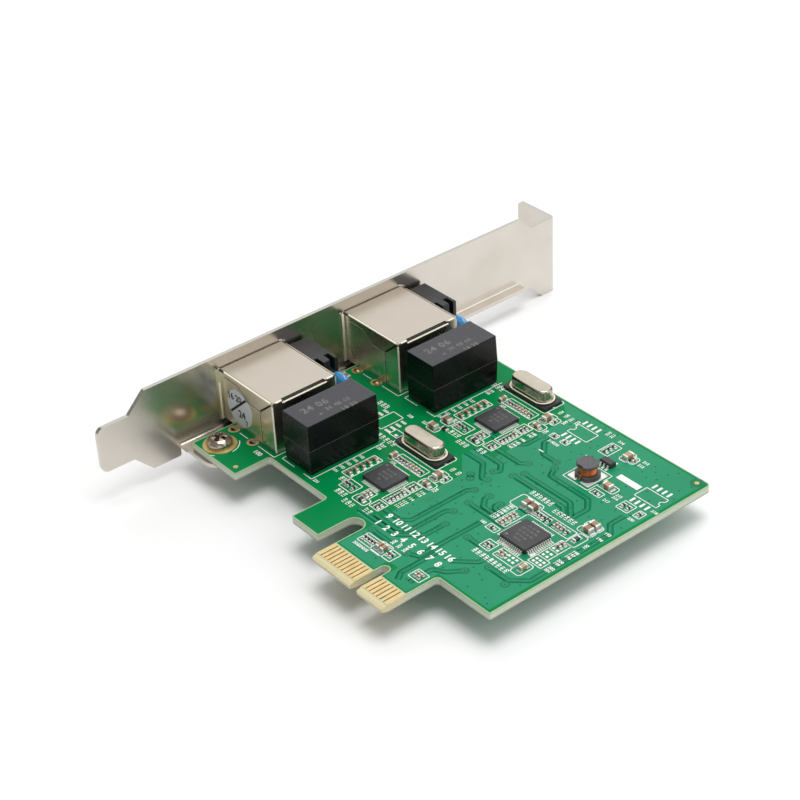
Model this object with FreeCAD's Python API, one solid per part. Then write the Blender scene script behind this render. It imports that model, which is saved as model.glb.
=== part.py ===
import FreeCAD, Part
import math
import os

# Dual-port PCI Express x1 network card.
# Millimetres. Origin: centre of the key notch (x), tip of the edge connector (y) and the
# component side of the board (z). +X runs away from the bracket, +Y away from the
# connector and +Z up from the component side.

V = FreeCAD.Vector

# ---- board ----------------------------------------------------------------------------
board_thickness = 1.57
board_right = 22.1
board_length = 79.05
board_margin = 1.4            # board past the last LED holder
shoulder = 12.9               # edge on both sides of the connector
ear_bottom = 4.55
ear_width = 14.55
hook_bottom = 4.6
hook_width = 8.0
hook_slot = 4.0
hook_slot_top = 13.5
key_width = 1.9
key_depth = 8.25
bevel_length = 1.3
bevel_angle = 20.0

# ---- edge contacts --------------------------------------------------------------------
contact_pitch = 1.0
contact_width = 0.7
contact_top = 5.4
contact_thickness = 0.04
contact_margin = 0.65         # tab past the outer contacts' pitch
contacts_before_key = 11
contacts_after_key = 7
presence_shortfall = 1.3      # the presence-detect contact makes last

# ---- bracket --------------------------------------------------------------------------
bracket_thickness = 0.86
bracket_width = 18.42
bracket_length = 120.02
bracket_top = 14.3
tail_end = -14.25
tail_length = 7.3
tail_width = 10.19
tail_corner = 1.6
flange_depth = 11.43
bend_radius = 0.5
flange_corner = 1.2
notch_width = 4.42
notch_depth = 6.2
notch_offset = 6.2            # notch centre to the plate's inner face
foot_end = 3.7                # full-width foot below the lip
lip_depth = 2.1
lip_gap = 11.2                # flange top down to the end of the lip
board_gap = 3.05              # plate's inner face to the board
flange_shift = 3.2            # flange end offset towards the solder side
corner_ear = 4.3              # flange top down to the slanted step below
corner_step = 7.4             # flange top down to the slanted step above
window_clearance = 0.25
window_corner = 0.6

# ---- fixing screw ---------------------------------------------------------------------
screw_from_edge = 4.15        # board edge to screw centre
screw_y = 8.4
screw_radius = 1.4
screw_clearance = 0.2
thread_clearance = 0.05
screw_head_radius = 2.5
screw_head_height = 1.9
screw_crown = 1.0
screw_tip = 0.8
tab_half_width = 4.5
tab_end = 4.2                 # tab beyond the screw centre
tab_corner = 3.4
recess_width = 0.9
recess_span = 3.0
recess_depth = 1.1

# ---- network ports --------------------------------------------------------------------
port_count = 2
port_pitch = 31.4
port_first = 14.45
port_proud = 0.8              # nose in front of the bracket
port_depth = 19.46
shield_gauge = 0.2
shield_bend = 0.35
shield_leg_width = 1.2
shield_leg_step = 0.95
shield_leg_length = 2.6
shield_leg_front = 6.56       # legs behind the nose
shield_leg_spacing = 6.3
leg_hole_clearance = 0.25
spring_reach = 0.75
spring_thickness = 0.22
housing_clearance = 0.05
plug_width = 11.9
plug_height = 6.8
plug_depth = 14.4
socket_wall = 1.4
socket_floor = 0.92
socket_ceiling = 1.5
latch_width = 6.3
latch_step = 1.2
latch_groove = 3.4
latch_groove_depth = 1.0
wire_count = 8
wire_pitch = 1.02
wire_width = 0.36
wire_thickness = 0.3

# ---- port lights ----------------------------------------------------------------------
holder_gap = 0.25
holder_width = 5.5
holder_height = 10.3
holder_depth = 10.2
holder_setback = 0.7          # holder behind the bracket's inner face
light_radius = 1.5
light_clearance = 0.2
light_proud = 0.5
light_heights = (2.7, 7.6)
lead_slot_width = 1.1
lead_slot_length = 2.2
lead_slot_depth = 3.0

# ---- transformers ---------------------------------------------------------------------
transformer_gap = 2.25        # behind the port
transformer_first = 14.9
transformer_pitch = 31.0
transformer_depth = 8.4
transformer_width = 17.1
transformer_height = 11.3
transformer_seam = 5.6
transformer_draft = 0.18
transformer_foot = 0.3
transformer_pin_pitch = 1.8
transformer_pin_rows = 6.4
transformer_pins = 9

# ---- disc capacitors ------------------------------------------------------------------
disc_radius = 3.3
disc_thickness = 2.5
disc_clearance = 0.35
disc_lift = 2.3
disc_wire = 0.5

# ---- channel parts (one set for each port) --------------------------------------------
channel_pitch = 28.45
phy_x = -21.35
phy_y = 25.0
phy_size = 6.3
phy_height = 0.85
phy_pad_pitch = 0.4
phy_pad_width = 0.2
phy_pad_reach = 0.7
phy_pad_height = 0.1
phy_pads_per_side = 12
crystal_x = -23.3
crystal_gap = 5.8             # controller's edge to crystal base
crystal_base = (12.5, 4.9, 0.7)
crystal_flange = (11.2, 4.7, 0.35)
crystal_can = (10.2, 3.8, 2.5)
crystal_crown = 0.45
crystal_lead = (0.7, 0.5, 0.15)

# ---- switch chip ----------------------------------------------------------------------
switch_x = 10.6
switch_y = 31.9
switch_size = 6.9
switch_height = 1.1
switch_standoff = 0.1
switch_chamfer = 0.35
lead_pitch = 0.5
lead_width = 0.22
lead_thickness = 0.13
lead_reach = 0.9
leads_per_side = 12

# ---- power parts ----------------------------------------------------------------------
inductor_x = 4.2
inductor_y = 53.8
inductor_base_radius = 2.5
inductor_top_radius = 2.2
inductor_height = 3.2
inductor_base_height = 0.9
inductor_top_height = 0.55
inductor_neck_radius = 1.0
winding_radius = 1.95
regulator_x = 4.3
regulator_y = 59.0
regulator_size = (2.9, 1.6, 1.05)
regulator_lead_pitch = 0.95
regulator_lead_reach = 0.65

# ---- chip capacitors and resistors: length, width, height, end cap ---------------------
small_chip = (1.0, 0.5, 0.5, 0.22)
medium_chip = (1.6, 0.8, 0.8, 0.3)
large_chip = (2.0, 1.25, 1.0, 0.4)
small_resistor = (1.0, 0.5, 0.34, 0.22)
medium_resistor = (1.6, 0.8, 0.45, 0.3)

# ---- label and solder side ------------------------------------------------------------
sticker_radius = 4.1
sticker_thickness = 0.08
sticker_from_nose = 7.7
sticker_height = 4.95
pin_size = 0.45
pin_length = 1.0

# ---- places that follow from the sizes above -------------------------------------------
tab_left = -(contacts_before_key + 0.5) * contact_pitch - contact_margin
tab_right = (contacts_after_key + 0.5) * contact_pitch + contact_margin
board_left = board_right - board_length
bracket_inner = board_left - board_gap
bracket_outer = bracket_inner - bracket_thickness
bracket_bottom = bracket_top - bracket_width
flange_top = tail_end + bracket_length
port_skin = 2 * shield_gauge + housing_clearance
port_width = plug_width + 2 * (socket_wall + port_skin)
socket_top = socket_floor + latch_groove_depth + latch_step + plug_height + socket_ceiling
port_height = socket_top + housing_clearance + shield_gauge
port_nose = bracket_outer - port_proud
port_rear = port_nose + port_depth
holder_front = bracket_inner + holder_setback
last_port = port_first + (port_count - 1) * port_pitch
board_top = last_port + port_width + holder_gap + holder_width + board_margin
screw_x = board_left + screw_from_edge
transformer_x = port_rear + transformer_gap
lip_top = -board_thickness
lip_bottom = lip_top - bracket_thickness
lip_edge = bracket_inner + lip_depth
recess_edge = lip_top + bend_radius

os.makedirs("parts", exist_ok=True)


def box(low, high):
    size = [h - l for l, h in zip(low, high)]
    return Part.makeBox(*size, V(*low))


def block(x, y, z, size):
    length, width, height = size
    return Part.makeBox(length, width, height, V(x - length / 2, y - width / 2, z))


def cylinder(x, y, z, radius, height, axis=V(0, 0, 1)):
    return Part.makeCylinder(radius, height, V(x, y, z), axis)


def on_xy(z):
    return lambda u, v: V(u, v, z)


def on_yz(x):
    return lambda u, v: V(x, u, v)


def on_xz(y):
    return lambda u, v: V(u, y, v)


def rounded_face(corners, place):
    """Closed outline of (u, v, radius) corners as a face."""
    starts, edges = [], []
    for index, (u, v, radius) in enumerate(corners):
        here = V(u, v, 0)
        before = V(*corners[index - 1][:2], 0) - here
        after = V(*corners[(index + 1) % len(corners)][:2], 0) - here
        half = before.getAngle(after) / 2
        before.normalize()
        after.normalize()
        reach = radius / math.tan(half) if radius else 0
        middle = (before + after).normalize() if radius else V(0, 0, 0)
        bulge = radius / math.sin(half) - radius if radius else 0
        starts.append((here + before * reach, here + middle * bulge, here + after * reach))
    for index, (enter, middle, leave) in enumerate(starts):
        following = starts[(index + 1) % len(starts)][0]
        if (leave - enter).Length > 1e-6:
            arc = [place(p.x, p.y) for p in (enter, middle, leave)]
            edges.append(Part.Arc(*arc).toShape())
        if (following - leave).Length > 1e-6:
            edges.append(Part.makeLine(place(leave.x, leave.y), place(following.x, following.y)))
    return Part.Face(Part.Wire(edges))


def prism(points, place, direction):
    corners = [point if len(point) == 3 else (*point, 0) for point in points]
    return rounded_face(corners, place).extrude(direction)


def slab(x, y, z, size, corner):
    """Upright-sided block with rounded vertical edges, centred on x and y."""
    length, width, height = size
    u, v = length / 2, width / 2
    corners = [(x + a * u, y + b * v, corner) for a, b in ((-1, -1), (1, -1), (1, 1), (-1, 1))]
    return prism(corners, on_xy(z), V(0, 0, height))


def turned(points, base, axis=V(0, 0, 1)):
    """Solid of revolution from (height along the axis, radius) points."""
    corners = [V(radius, 0, height) for height, radius in points + points[:1]]
    solid = Part.Face(Part.makePolygon(corners)).revolve(V(0, 0, 0), V(0, 0, 1), 360)
    solid.Placement = FreeCAD.Placement(base, FreeCAD.Rotation(V(0, 0, 1), axis))
    return solid


def many_sided(x, y, z, radius, height, sides=16):
    """Upright prism around a circle, for small holes."""
    around_it = [2 * math.pi * (i + 0.5) / sides for i in range(sides)]
    reach = radius / math.cos(math.pi / sides)
    corners = [(x + reach * math.cos(a), y + reach * math.sin(a)) for a in around_it]
    return prism(corners, on_xy(z), V(0, 0, height))


def fuse(shapes):
    joined = shapes[0].multiFuse(shapes[1:]) if len(shapes) > 1 else shapes[0]
    return joined.removeSplitter()


def group(shapes):
    return Part.makeCompound(shapes)


def save(name, shape):
    shape.exportStep("parts/%s.step" % name)


# ---- board ----------------------------------------------------------------------------

def leg_places(port):
    y = port_first + port * port_pitch
    for x in (port_nose + shield_leg_front, port_nose + shield_leg_front + shield_leg_spacing):
        yield x, y - shield_leg_step
        yield x, y + port_width - 1.5 * shield_gauge


def make_board():
    ear_right = board_left + ear_width
    hook_right = tab_left - hook_slot
    hook_left = hook_right - hook_width
    key = key_width / 2
    outline = [
        (board_left, ear_bottom, 0.3), (ear_right, ear_bottom, 0.3), (ear_right, shoulder, 0.6),
        (hook_left, shoulder, 0.6), (hook_left, hook_bottom, 0.3), (hook_right, hook_bottom, 0.3),
        (hook_right, hook_slot_top, hook_slot / 2), (tab_left, hook_slot_top, hook_slot / 2),
        (tab_left, 0, 0.5), (-key, 0, 0.2), (-key, key_depth, key), (key, key_depth, key),
        (key, 0, 0.2), (tab_right, 0, 0.5), (tab_right, shoulder, 0.8),
        (board_right, shoulder, 0.4), (board_right, board_top, 0.9), (board_left, board_top, 0.5)]
    board = prism(outline, on_xy(-board_thickness), V(0, 0, board_thickness))
    drop = bevel_length * math.tan(math.radians(bevel_angle))
    length = tab_right - tab_left
    top = [(bevel_length, 0), (-1, 0), (-1, -drop), (0, -drop)]
    bottom = [(y, -board_thickness - z) for y, z in top]
    for wedge in (top, bottom):
        board = board.cut(prism(wedge, on_yz(tab_left), V(length, 0, 0)))
    under = -board_thickness
    hole = screw_radius + screw_clearance
    board = board.cut(cylinder(screw_x, screw_y, under, hole, board_thickness))
    reach = shield_leg_width / 2 + leg_hole_clearance
    for port in range(port_count):
        for x, y in leg_places(port):
            board = board.cut(many_sided(x, y, under, reach, board_thickness))
    return board


def make_edge_contacts():
    key_side = contact_pitch * 1.5
    places = [-key_side - i * contact_pitch for i in range(contacts_before_key)]
    places += [key_side + i * contact_pitch for i in range(contacts_after_key)]
    short_above = places[-1] - contact_pitch
    short_below = min(places)
    pads = []
    for x in places:
        for z, short in ((0, short_above), (-board_thickness - contact_thickness, short_below)):
            start = bevel_length + (presence_shortfall if x == short else 0)
            low = (x - contact_width / 2, start, z)
            pads.append(box(low, (x + contact_width / 2, contact_top, z + contact_thickness)))
    return group(pads)


# ---- bracket --------------------------------------------------------------------------

def make_bracket():
    outer_radius = bend_radius + bracket_thickness
    tip = bracket_inner - flange_depth
    flange_under = flange_top - bracket_thickness
    profile = [
        (bracket_inner, tail_end), (bracket_inner, flange_top, outer_radius), (tip, flange_top),
        (tip, flange_under), (bracket_outer, flange_under, bend_radius), (bracket_outer, tail_end)]
    folded = prism(profile, on_xy(bracket_bottom - flange_shift),
                   V(0, 0, bracket_width + flange_shift))

    step = (bracket_width - tail_width) / 2
    shoulder_y = tail_end + tail_length
    lip_end = flange_top - lip_gap
    ear = flange_top - corner_ear
    low, high = bracket_bottom, bracket_top
    end_low, end_high = low - flange_shift, high - flange_shift
    outline = [
        (tail_end, low + step, tail_corner), (shoulder_y, low + step), (shoulder_y + step, low),
        (foot_end, low, 0.4), (foot_end, recess_edge), (lip_end, recess_edge), (lip_end, low),
        (ear - flange_shift, low), (ear, end_low), (flange_top + 1, end_low),
        (flange_top + 1, end_high), (flange_top - corner_step, end_high),
        (flange_top - corner_step - flange_shift, high), (shoulder_y + step, high),
        (shoulder_y, high - step), (tail_end, high - step, tail_corner)]
    plate = folded.common(prism(outline, on_yz(tip - 1), V(flange_depth + 2, 0, 0)))

    flange = [
        (tip, end_low, flange_corner), (bracket_inner + 1, end_low),
        (bracket_inner + 1, end_high), (tip, end_high, flange_corner)]
    trim = prism(flange, on_xz(flange_top - 2 * bracket_thickness), V(0, 4 * bracket_thickness, 0))
    below = box((tip - 1, tail_end - 1, end_low - 1),
                (1, flange_top - 2 * bracket_thickness, high + 1))
    plate = plate.common(trim.fuse(below))
    notch_x = bracket_inner - notch_offset
    round_end = end_low + notch_depth - notch_width / 2
    notch = cylinder(notch_x, flange_under - 1, round_end, notch_width / 2, 4, V(0, 1, 0))
    mouth = box((notch_x - notch_width / 2, flange_under - 1, end_low - 1),
                (notch_x + notch_width / 2, flange_top + 1, round_end))
    plate = plate.cut(fuse([notch, mouth]))

    hook = [
        (bracket_outer, recess_edge), (bracket_outer, lip_bottom, outer_radius),
        (lip_edge, lip_bottom), (lip_edge, lip_top), (bracket_inner, lip_top, bend_radius),
        (bracket_inner, recess_edge)]
    lip = rounded_face([(*p, 0) if len(p) == 2 else p for p in hook], on_xz(foot_end))
    lip = lip.extrude(V(0, lip_end - foot_end, 0))
    tab = [(lip_edge - 0.5, screw_y - tab_half_width),
           (screw_x + tab_end, screw_y - tab_half_width, tab_corner),
           (screw_x + tab_end, screw_y + tab_half_width, tab_corner),
           (lip_edge - 0.5, screw_y + tab_half_width)]
    tab = prism(tab, on_xy(lip_bottom), V(0, 0, bracket_thickness))
    bracket = fuse([plate, lip, tab])
    thread = screw_radius + thread_clearance
    bracket = bracket.cut(cylinder(screw_x, screw_y, lip_bottom - 1, thread, 3))

    for port in range(port_count):
        y = port_first + port * port_pitch
        left, right = y - window_clearance, y + port_width + window_clearance
        bottom, top = -window_clearance, port_height + window_clearance
        corners = [(v, w, window_corner) for v, w in
                   ((left, bottom), (right, bottom), (right, top), (left, top))]
        window = prism(corners, on_yz(bracket_outer - 1), V(bracket_thickness + 2, 0, 0))
        bracket = bracket.cut(window)
        for height in light_heights:
            hole = light_radius + light_clearance
            bracket = bracket.cut(cylinder(bracket_outer - 1, light_y(port), height, hole,
                                           bracket_thickness + 2, V(1, 0, 0)))
    return bracket


def make_screw():
    crown = screw_head_height - screw_crown
    pan = [(0, 0), (0, screw_head_radius), (crown, screw_head_radius),
           (crown + 0.65 * screw_crown, screw_head_radius - 0.35 * screw_crown),
           (screw_head_height, screw_head_radius - screw_crown), (screw_head_height, 0)]
    head = turned(pan, V(screw_x, screw_y, 0))
    floor = screw_head_height - recess_depth
    span = (recess_span, recess_width, recess_depth)
    cross = fuse([block(screw_x, screw_y, floor, span),
                  block(screw_x, screw_y, floor, (span[1], span[0], span[2]))])
    depth = board_thickness + bracket_thickness + screw_tip
    shank = cylinder(screw_x, screw_y, -depth, screw_radius, depth)
    return fuse([head.cut(cross), shank])


# ---- network ports --------------------------------------------------------------------

def make_shield(port):
    """Folded sheet can: channel, closed back, side flaps, back flanges, springs and legs."""
    y = port_first + port * port_pitch
    gauge = shield_gauge
    side = y + gauge
    far_side = y + port_width - gauge
    roof = [(side, 0), (side, port_height, shield_bend), (far_side, port_height, shield_bend),
            (far_side, 0)]
    inner = [(side + gauge, 0), (side + gauge, port_height - gauge, shield_bend - gauge / 2),
             (far_side - gauge, port_height - gauge, shield_bend - gauge / 2),
             (far_side - gauge, 0)]
    can = prism(roof, on_yz(port_nose), V(port_depth, 0, 0))
    can = can.cut(prism(inner, on_yz(port_nose), V(port_depth - gauge, 0, 0)))
    slot_low = port_height - 2 * gauge
    slot = box((port_rear - 3 * gauge, y + 2.5, slot_low), (port_rear, y + 12.9, port_height))
    can = can.cut(slot)

    flap_front = port_nose + 3.3
    flap_back = port_rear - 0.3
    flap = [(flap_front, port_height - 0.05), (flap_front, port_height - 0.8),
            (port_rear - 11.4, port_height - 1.0), (port_rear - 7.4, port_height - 3.5),
            (port_rear - 4.3, port_height - 3.8), (flap_back, port_height - 0.4),
            (flap_back, port_height - 0.05)]
    flange = [(port_rear - 4.9, 0.1), (port_rear, 0.1), (port_rear, port_height - 0.6),
              (port_rear - 4.4, port_height - 4.3), (port_rear - 4.9, port_height - 4.3)]
    pieces = [can]
    for outer in (y, far_side):
        pieces.append(prism(flap, on_xz(outer), V(0, gauge, 0)))
        pieces.append(prism(flange, on_xz(outer), V(0, gauge, 0)))
    for wall, out in ((side, -1), (far_side, 1)):
        reach = sorted((wall, wall + out * (gauge + spring_reach)))
        end = bracket_inner + spring_thickness
        pieces.append(box((bracket_inner, reach[0], 0), (end, reach[1], port_height - 0.3)))
    half = shield_leg_width / 2
    for x, leg in leg_places(port):
        pieces.append(box((x - half, leg - gauge / 2, -shield_leg_length),
                          (x + half, leg + gauge / 2, gauge)))
        if leg < y:
            pieces.append(box((x - half, leg - gauge / 2, 0), (x + half, side + gauge, gauge)))
    return fuse(pieces)


def make_housing(port):
    """Moulded insert with the plug cavity and its stepped latch groove."""
    y = port_first + port * port_pitch
    back = port_rear - shield_gauge - housing_clearance
    top = socket_top
    centre = y + port_width / 2
    near, far = y + port_skin, y + port_width - port_skin
    body = prism([(near, 0), (near, top, shield_bend), (far, top, shield_bend), (far, 0)],
                 on_yz(port_nose + 0.2), V(back - port_nose - 0.2, 0, 0))
    ceiling = top - socket_ceiling
    floor = ceiling - plug_height
    end = port_nose + plug_depth
    steps = ((plug_width, floor, ceiling), (latch_width, floor - latch_step, floor),
             (latch_groove, floor - latch_step - latch_groove_depth, floor - latch_step))
    half_section = []
    for width, low, high in reversed(steps):
        half_section += [(width / 2, low), (width / 2, high)]
    section = [(centre + v, z) for v, z in half_section]
    section += [(centre - v, z) for v, z in reversed(half_section)]
    return body.cut(prism(section, on_yz(port_nose - 1), V(end - port_nose + 1, 0, 0)))


def make_wires(port):
    """Spring contacts that hang from the ceiling of the plug cavity."""
    y = port_first + port * port_pitch + port_width / 2
    ceiling = socket_top - socket_ceiling
    end = port_nose + plug_depth
    line = [(end, ceiling), (end - 2.5, ceiling), (port_nose + 5.0, ceiling - 1.8),
            (port_nose + 3.2, ceiling - 0.9)]
    under = [(x, z - wire_thickness) for x, z in reversed(line)]
    first = y - (wire_count - 1) * wire_pitch / 2 - wire_width / 2
    wires = [prism(line + under, on_xz(first + i * wire_pitch), V(0, wire_width, 0))
             for i in range(wire_count)]
    return group(wires)


# ---- port lights ----------------------------------------------------------------------

def light_y(port):
    return port_first + port * port_pitch + port_width + holder_gap + holder_width / 2


def make_holder(port):
    y = light_y(port)
    half = holder_width / 2
    back = holder_front + holder_depth
    body = box((holder_front, y - half, 0), (back, y + half, holder_height))
    rim = [edge for edge in body.Edges if edge.BoundBox.ZMin > holder_height - 0.1]
    body = body.makeChamfer(0.2, rim)
    for side in (-1, 1):
        middle = y + side * holder_width / 4
        body = body.cut(box((back - lead_slot_length, middle - lead_slot_width / 2,
                             holder_height - lead_slot_depth),
                            (back + 1, middle + lead_slot_width / 2, holder_height + 1)))
    return body


def make_lights(port):
    """Two round lenses that reach from the holder through the bracket."""
    y = light_y(port)
    tip = bracket_outer - light_proud
    lenses = []
    for height in light_heights:
        dome = [(0, 0), (0, 0.6 * light_radius), (0.5 * light_radius, light_radius)]
        dome += [(holder_front - tip, light_radius), (holder_front - tip, 0)]
        lenses.append(turned(dome, V(tip, y, height), V(1, 0, 0)))
    return group(lenses)


# ---- transformers ---------------------------------------------------------------------

def drafted(x, y, low, high, draft):
    """Potted block whose walls lean in by draft towards the high level."""
    faces = []
    for z, inset in ((low, 0), (high, draft)):
        near = (x + inset, y + inset)
        far = (x + transformer_depth - inset, y + transformer_width - inset)
        corners = [near, (far[0], near[1]), far, (near[0], far[1]), near]
        faces.append(Part.makePolygon([V(*corner, z) for corner in corners]))
    return Part.makeLoft(faces, True, True)


def transformer_y(port):
    return transformer_first + port * transformer_pitch


def make_transformer_base(port):
    x, y = transformer_x, transformer_y(port)
    body = drafted(x, y, transformer_seam, transformer_foot, transformer_draft)
    feet = []
    for u in (1.0, transformer_depth - 1.0):
        for v in (1.2, transformer_width - 1.2):
            feet.append(block(x + u, y + v, 0, (1.2, 1.2, transformer_foot)))
    return fuse([body] + feet)


def make_transformer_cover(port):
    return drafted(transformer_x, transformer_y(port), transformer_seam, transformer_height,
                   transformer_draft)


# ---- disc capacitors ------------------------------------------------------------------

def make_disc(port):
    """Dipped high-voltage disc on two wires, standing behind the light holder."""
    x = holder_front + holder_depth + disc_clearance + disc_radius
    y = light_y(port) + 0.6
    z = disc_lift + disc_radius
    half = disc_thickness / 2
    pill = [(-half, 0), (-half, 0.6 * disc_radius), (-0.4 * half, disc_radius)]
    pill += [(-height, radius) for height, radius in reversed(pill)]
    disc = turned(pill, V(x, y, z), V(0, 1, 0))
    size = (disc_wire, disc_wire, z - disc_radius / 2)
    wires = [block(x + side * 1.6, y, 0, size) for side in (-1, 1)]
    return fuse([disc] + wires)


# ---- channel parts --------------------------------------------------------------------

def phy_place(channel):
    return phy_x, phy_y + channel * channel_pitch


def crystal_place(channel):
    y = phy_place(channel)[1] + phy_size / 2 + crystal_gap + crystal_base[1] / 2
    return crystal_x, y


def around(x, y, size, pitch, count):
    """Centre, outward direction and turn of each lead on the four sides of a square chip."""
    first = -(count - 1) * pitch / 2
    for turn in range(4):
        spin = FreeCAD.Rotation(V(0, 0, 1), 90 * turn)
        for i in range(count):
            yield V(x, y, 0) + spin.multVec(V(size / 2, first + i * pitch, 0)), 90 * turn


def ring_of(shape, x, y, size, pitch, count):
    leads = []
    for place, turn in around(x, y, size, pitch, count):
        lead = shape.copy()
        lead.rotate(V(0, 0, 0), V(0, 0, 1), turn)
        lead.translate(place)
        leads.append(lead)
    return group(leads)


def make_phy(channel):
    return block(*phy_place(channel), 0, (phy_size, phy_size, phy_height))


def make_phy_pads(channel):
    pad = box((0, -phy_pad_width / 2, 0), (phy_pad_reach, phy_pad_width / 2, phy_pad_height))
    return ring_of(pad, *phy_place(channel), phy_size, phy_pad_pitch, phy_pads_per_side)


def make_crystal_base(channel):
    x, y = crystal_place(channel)
    length, width, height = crystal_base
    base = slab(x, y, 0, crystal_base, 0.3)
    for side in (-1, 1):
        notch = block(x + side * length / 2, y, 0, crystal_lead)
        base = base.cut(notch)
    return base


def make_crystal_can(channel):
    x, y = crystal_place(channel)
    flange_z = crystal_base[2]
    can_z = flange_z + crystal_flange[2]
    flange = slab(x, y, flange_z, crystal_flange, crystal_flange[1] / 2 - 0.01)
    can = slab(x, y, can_z, crystal_can, crystal_can[1] / 2 - 0.01)
    crown = [edge for edge in can.Edges if edge.BoundBox.ZMin > can_z + crystal_can[2] - 1e-3]
    return fuse([flange, can.makeChamfer(crystal_crown, crown)])


def make_crystal_leads(channel):
    x, y = crystal_place(channel)
    return group([block(x + side * crystal_base[0] / 2, y, 0, crystal_lead) for side in (-1, 1)])


# ---- switch chip ----------------------------------------------------------------------

def make_switch():
    body = block(switch_x, switch_y, switch_standoff,
                 (switch_size, switch_size, switch_height - switch_standoff))
    upright = [edge for edge in body.Edges if edge.BoundBox.ZLength > 0.1]
    body = body.makeChamfer(switch_chamfer, upright)
    rim = [edge for edge in body.Edges if edge.BoundBox.ZMin > switch_height - 1e-3]
    return body.makeChamfer(0.12, rim)


def make_switch_leads():
    high = switch_height / 2 + lead_thickness / 2
    low = lead_thickness
    knee, ankle, toe = 0.3 * lead_reach, 0.5 * lead_reach, lead_reach
    gull = [(0, high), (knee, high), (ankle, low), (toe, low), (toe, 0), (ankle - 0.08, 0),
            (0, high - lead_thickness)]
    lead = prism(gull, on_xz(-lead_width / 2), V(0, lead_width, 0))
    return ring_of(lead, switch_x, switch_y, switch_size, lead_pitch, leads_per_side)


# ---- power parts ----------------------------------------------------------------------

def make_inductor_core():
    x, y = inductor_x, inductor_y
    waist = inductor_height - inductor_top_height
    base = cylinder(x, y, 0, inductor_base_radius, inductor_base_height)
    for side in (-1, 1):
        base = base.cut(block(x, y + side * inductor_base_radius, 0,
                              (2.2, 0.7, inductor_base_height)))
    neck = cylinder(x, y, inductor_base_height, inductor_neck_radius,
                    waist - inductor_base_height)
    top = cylinder(x, y, waist, inductor_top_radius, inductor_top_height)
    rim = [edge for edge in top.Edges if edge.BoundBox.ZMin > inductor_height - 1e-3]
    top = top.makeChamfer(0.12, rim)
    for side in (-1, 1):
        top = top.cut(block(x, y + side * inductor_top_radius, waist,
                            (1.3, 0.8, inductor_top_height)))
    return fuse([base, neck, top])


def make_winding():
    low = inductor_base_height
    height = inductor_height - inductor_top_height - low
    ring = cylinder(inductor_x, inductor_y, low, winding_radius, height)
    round_edges = [edge for edge in ring.Edges if edge.BoundBox.ZLength < 1e-6]
    ring = ring.makeChamfer(0.25, round_edges)
    return ring.cut(cylinder(inductor_x, inductor_y, low, inductor_neck_radius, height))


def make_regulator():
    body = block(regulator_x, regulator_y, switch_standoff, regulator_size)
    top = switch_standoff + regulator_size[2]
    rim = [edge for edge in body.Edges if edge.BoundBox.ZMin > top - 1e-3]
    return body.makeChamfer(0.15, rim)


def make_regulator_leads():
    high, low = 0.65, lead_thickness
    gull = [(0, high), (0.2, high), (0.35, low), (regulator_lead_reach, low),
            (regulator_lead_reach, 0), (0.27, 0), (0.12, high - low), (0, high - low)]
    leads = []
    for side in (-1, 1):
        for step in (-1, 0, 1):
            lead = prism(gull, on_xz(-0.2), V(0, 0.4, 0))
            lead.rotate(V(0, 0, 0), V(0, 0, 1), 90 * side)
            lead.translate(V(regulator_x + step * regulator_lead_pitch,
                             regulator_y + side * regulator_size[1] / 2, 0))
            leads.append(lead)
    return group(leads)


# ---- chip capacitors and resistors ----------------------------------------------------

class Chips:
    """Collects the bodies and end caps of surface-mounted two-terminal chips."""

    def __init__(self):
        self.bodies = []
        self.caps = []

    def add(self, x, y, size, upright):
        length, width, height, cap = size
        for shapes, low, high, grow in (
                (self.bodies, cap - length / 2, length / 2 - cap, 0),
                (self.caps, -length / 2, cap - length / 2, 0.02),
                (self.caps, length / 2 - cap, length / 2, 0.02)):
            across = width / 2 + grow
            chip = box((low, -across, 0), (high, across, height + grow))
            if upright:
                chip.rotate(V(0, 0, 0), V(0, 0, 1), 90)
            chip.translate(V(x, y, 0))
            shapes.append(chip)

    def column(self, x, y, pitch, count, size):
        for i in range(count):
            self.add(x, y + i * pitch, size, False)

    def row(self, x, y, pitch, count, size):
        for i in range(count):
            self.add(x + i * pitch, y, size, True)


def place_channel_chips(capacitors, resistors, channel):
    x, y = phy_place(channel)
    edge = phy_size / 2
    capacitors.column(x - edge - 3.0, y - 4.1, 1.62, 5, medium_chip)
    capacitors.row(x - edge + 2.8, y + edge + 2.9, 0.9, 4, small_chip)
    resistors.row(x - edge + 0.1, y + edge + 2.9, 0.9, 3, small_resistor)
    resistors.row(x - edge + 6.4, y + edge + 2.9, 0.9, 1, small_resistor)
    capacitors.row(x - edge - 1.5, y + edge + 2.7, 1, 1, medium_chip)
    capacitors.row(x + edge + 3.3, y + edge + 4.5, 1, 1, large_chip)
    resistors.row(x + edge + 5.0, y + edge + 4.8, 1, 1, small_resistor)
    capacitors.column(x + edge + 3.9, y + edge + 1.15, 1, 1, medium_chip)
    resistors.column(x + edge + 2.8, y + 1.35, 0.9, 2, small_resistor)
    capacitors.column(x + edge + 2.8, y - 0.55, 1, 1, small_chip)
    resistors.column(x + edge + 2.8, y - 4.15, 0.9, 4, small_resistor)
    resistors.column(x + edge + 2.8, y - edge - 3.95, 0.9, 2, small_resistor)
    capacitors.column(x + 1.7, y - edge - 3.1, 0.9, 2, small_chip)
    resistors.column(x + 2.2, y - edge - 4.55, 1, 1, medium_resistor)
    resistors.row(x - edge - 0.8, y - edge - 3.3, 0.85, 2, small_resistor)
    resistors.row(x - edge + 1.45, y - edge - 3.3, 1, 1, small_resistor)


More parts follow.
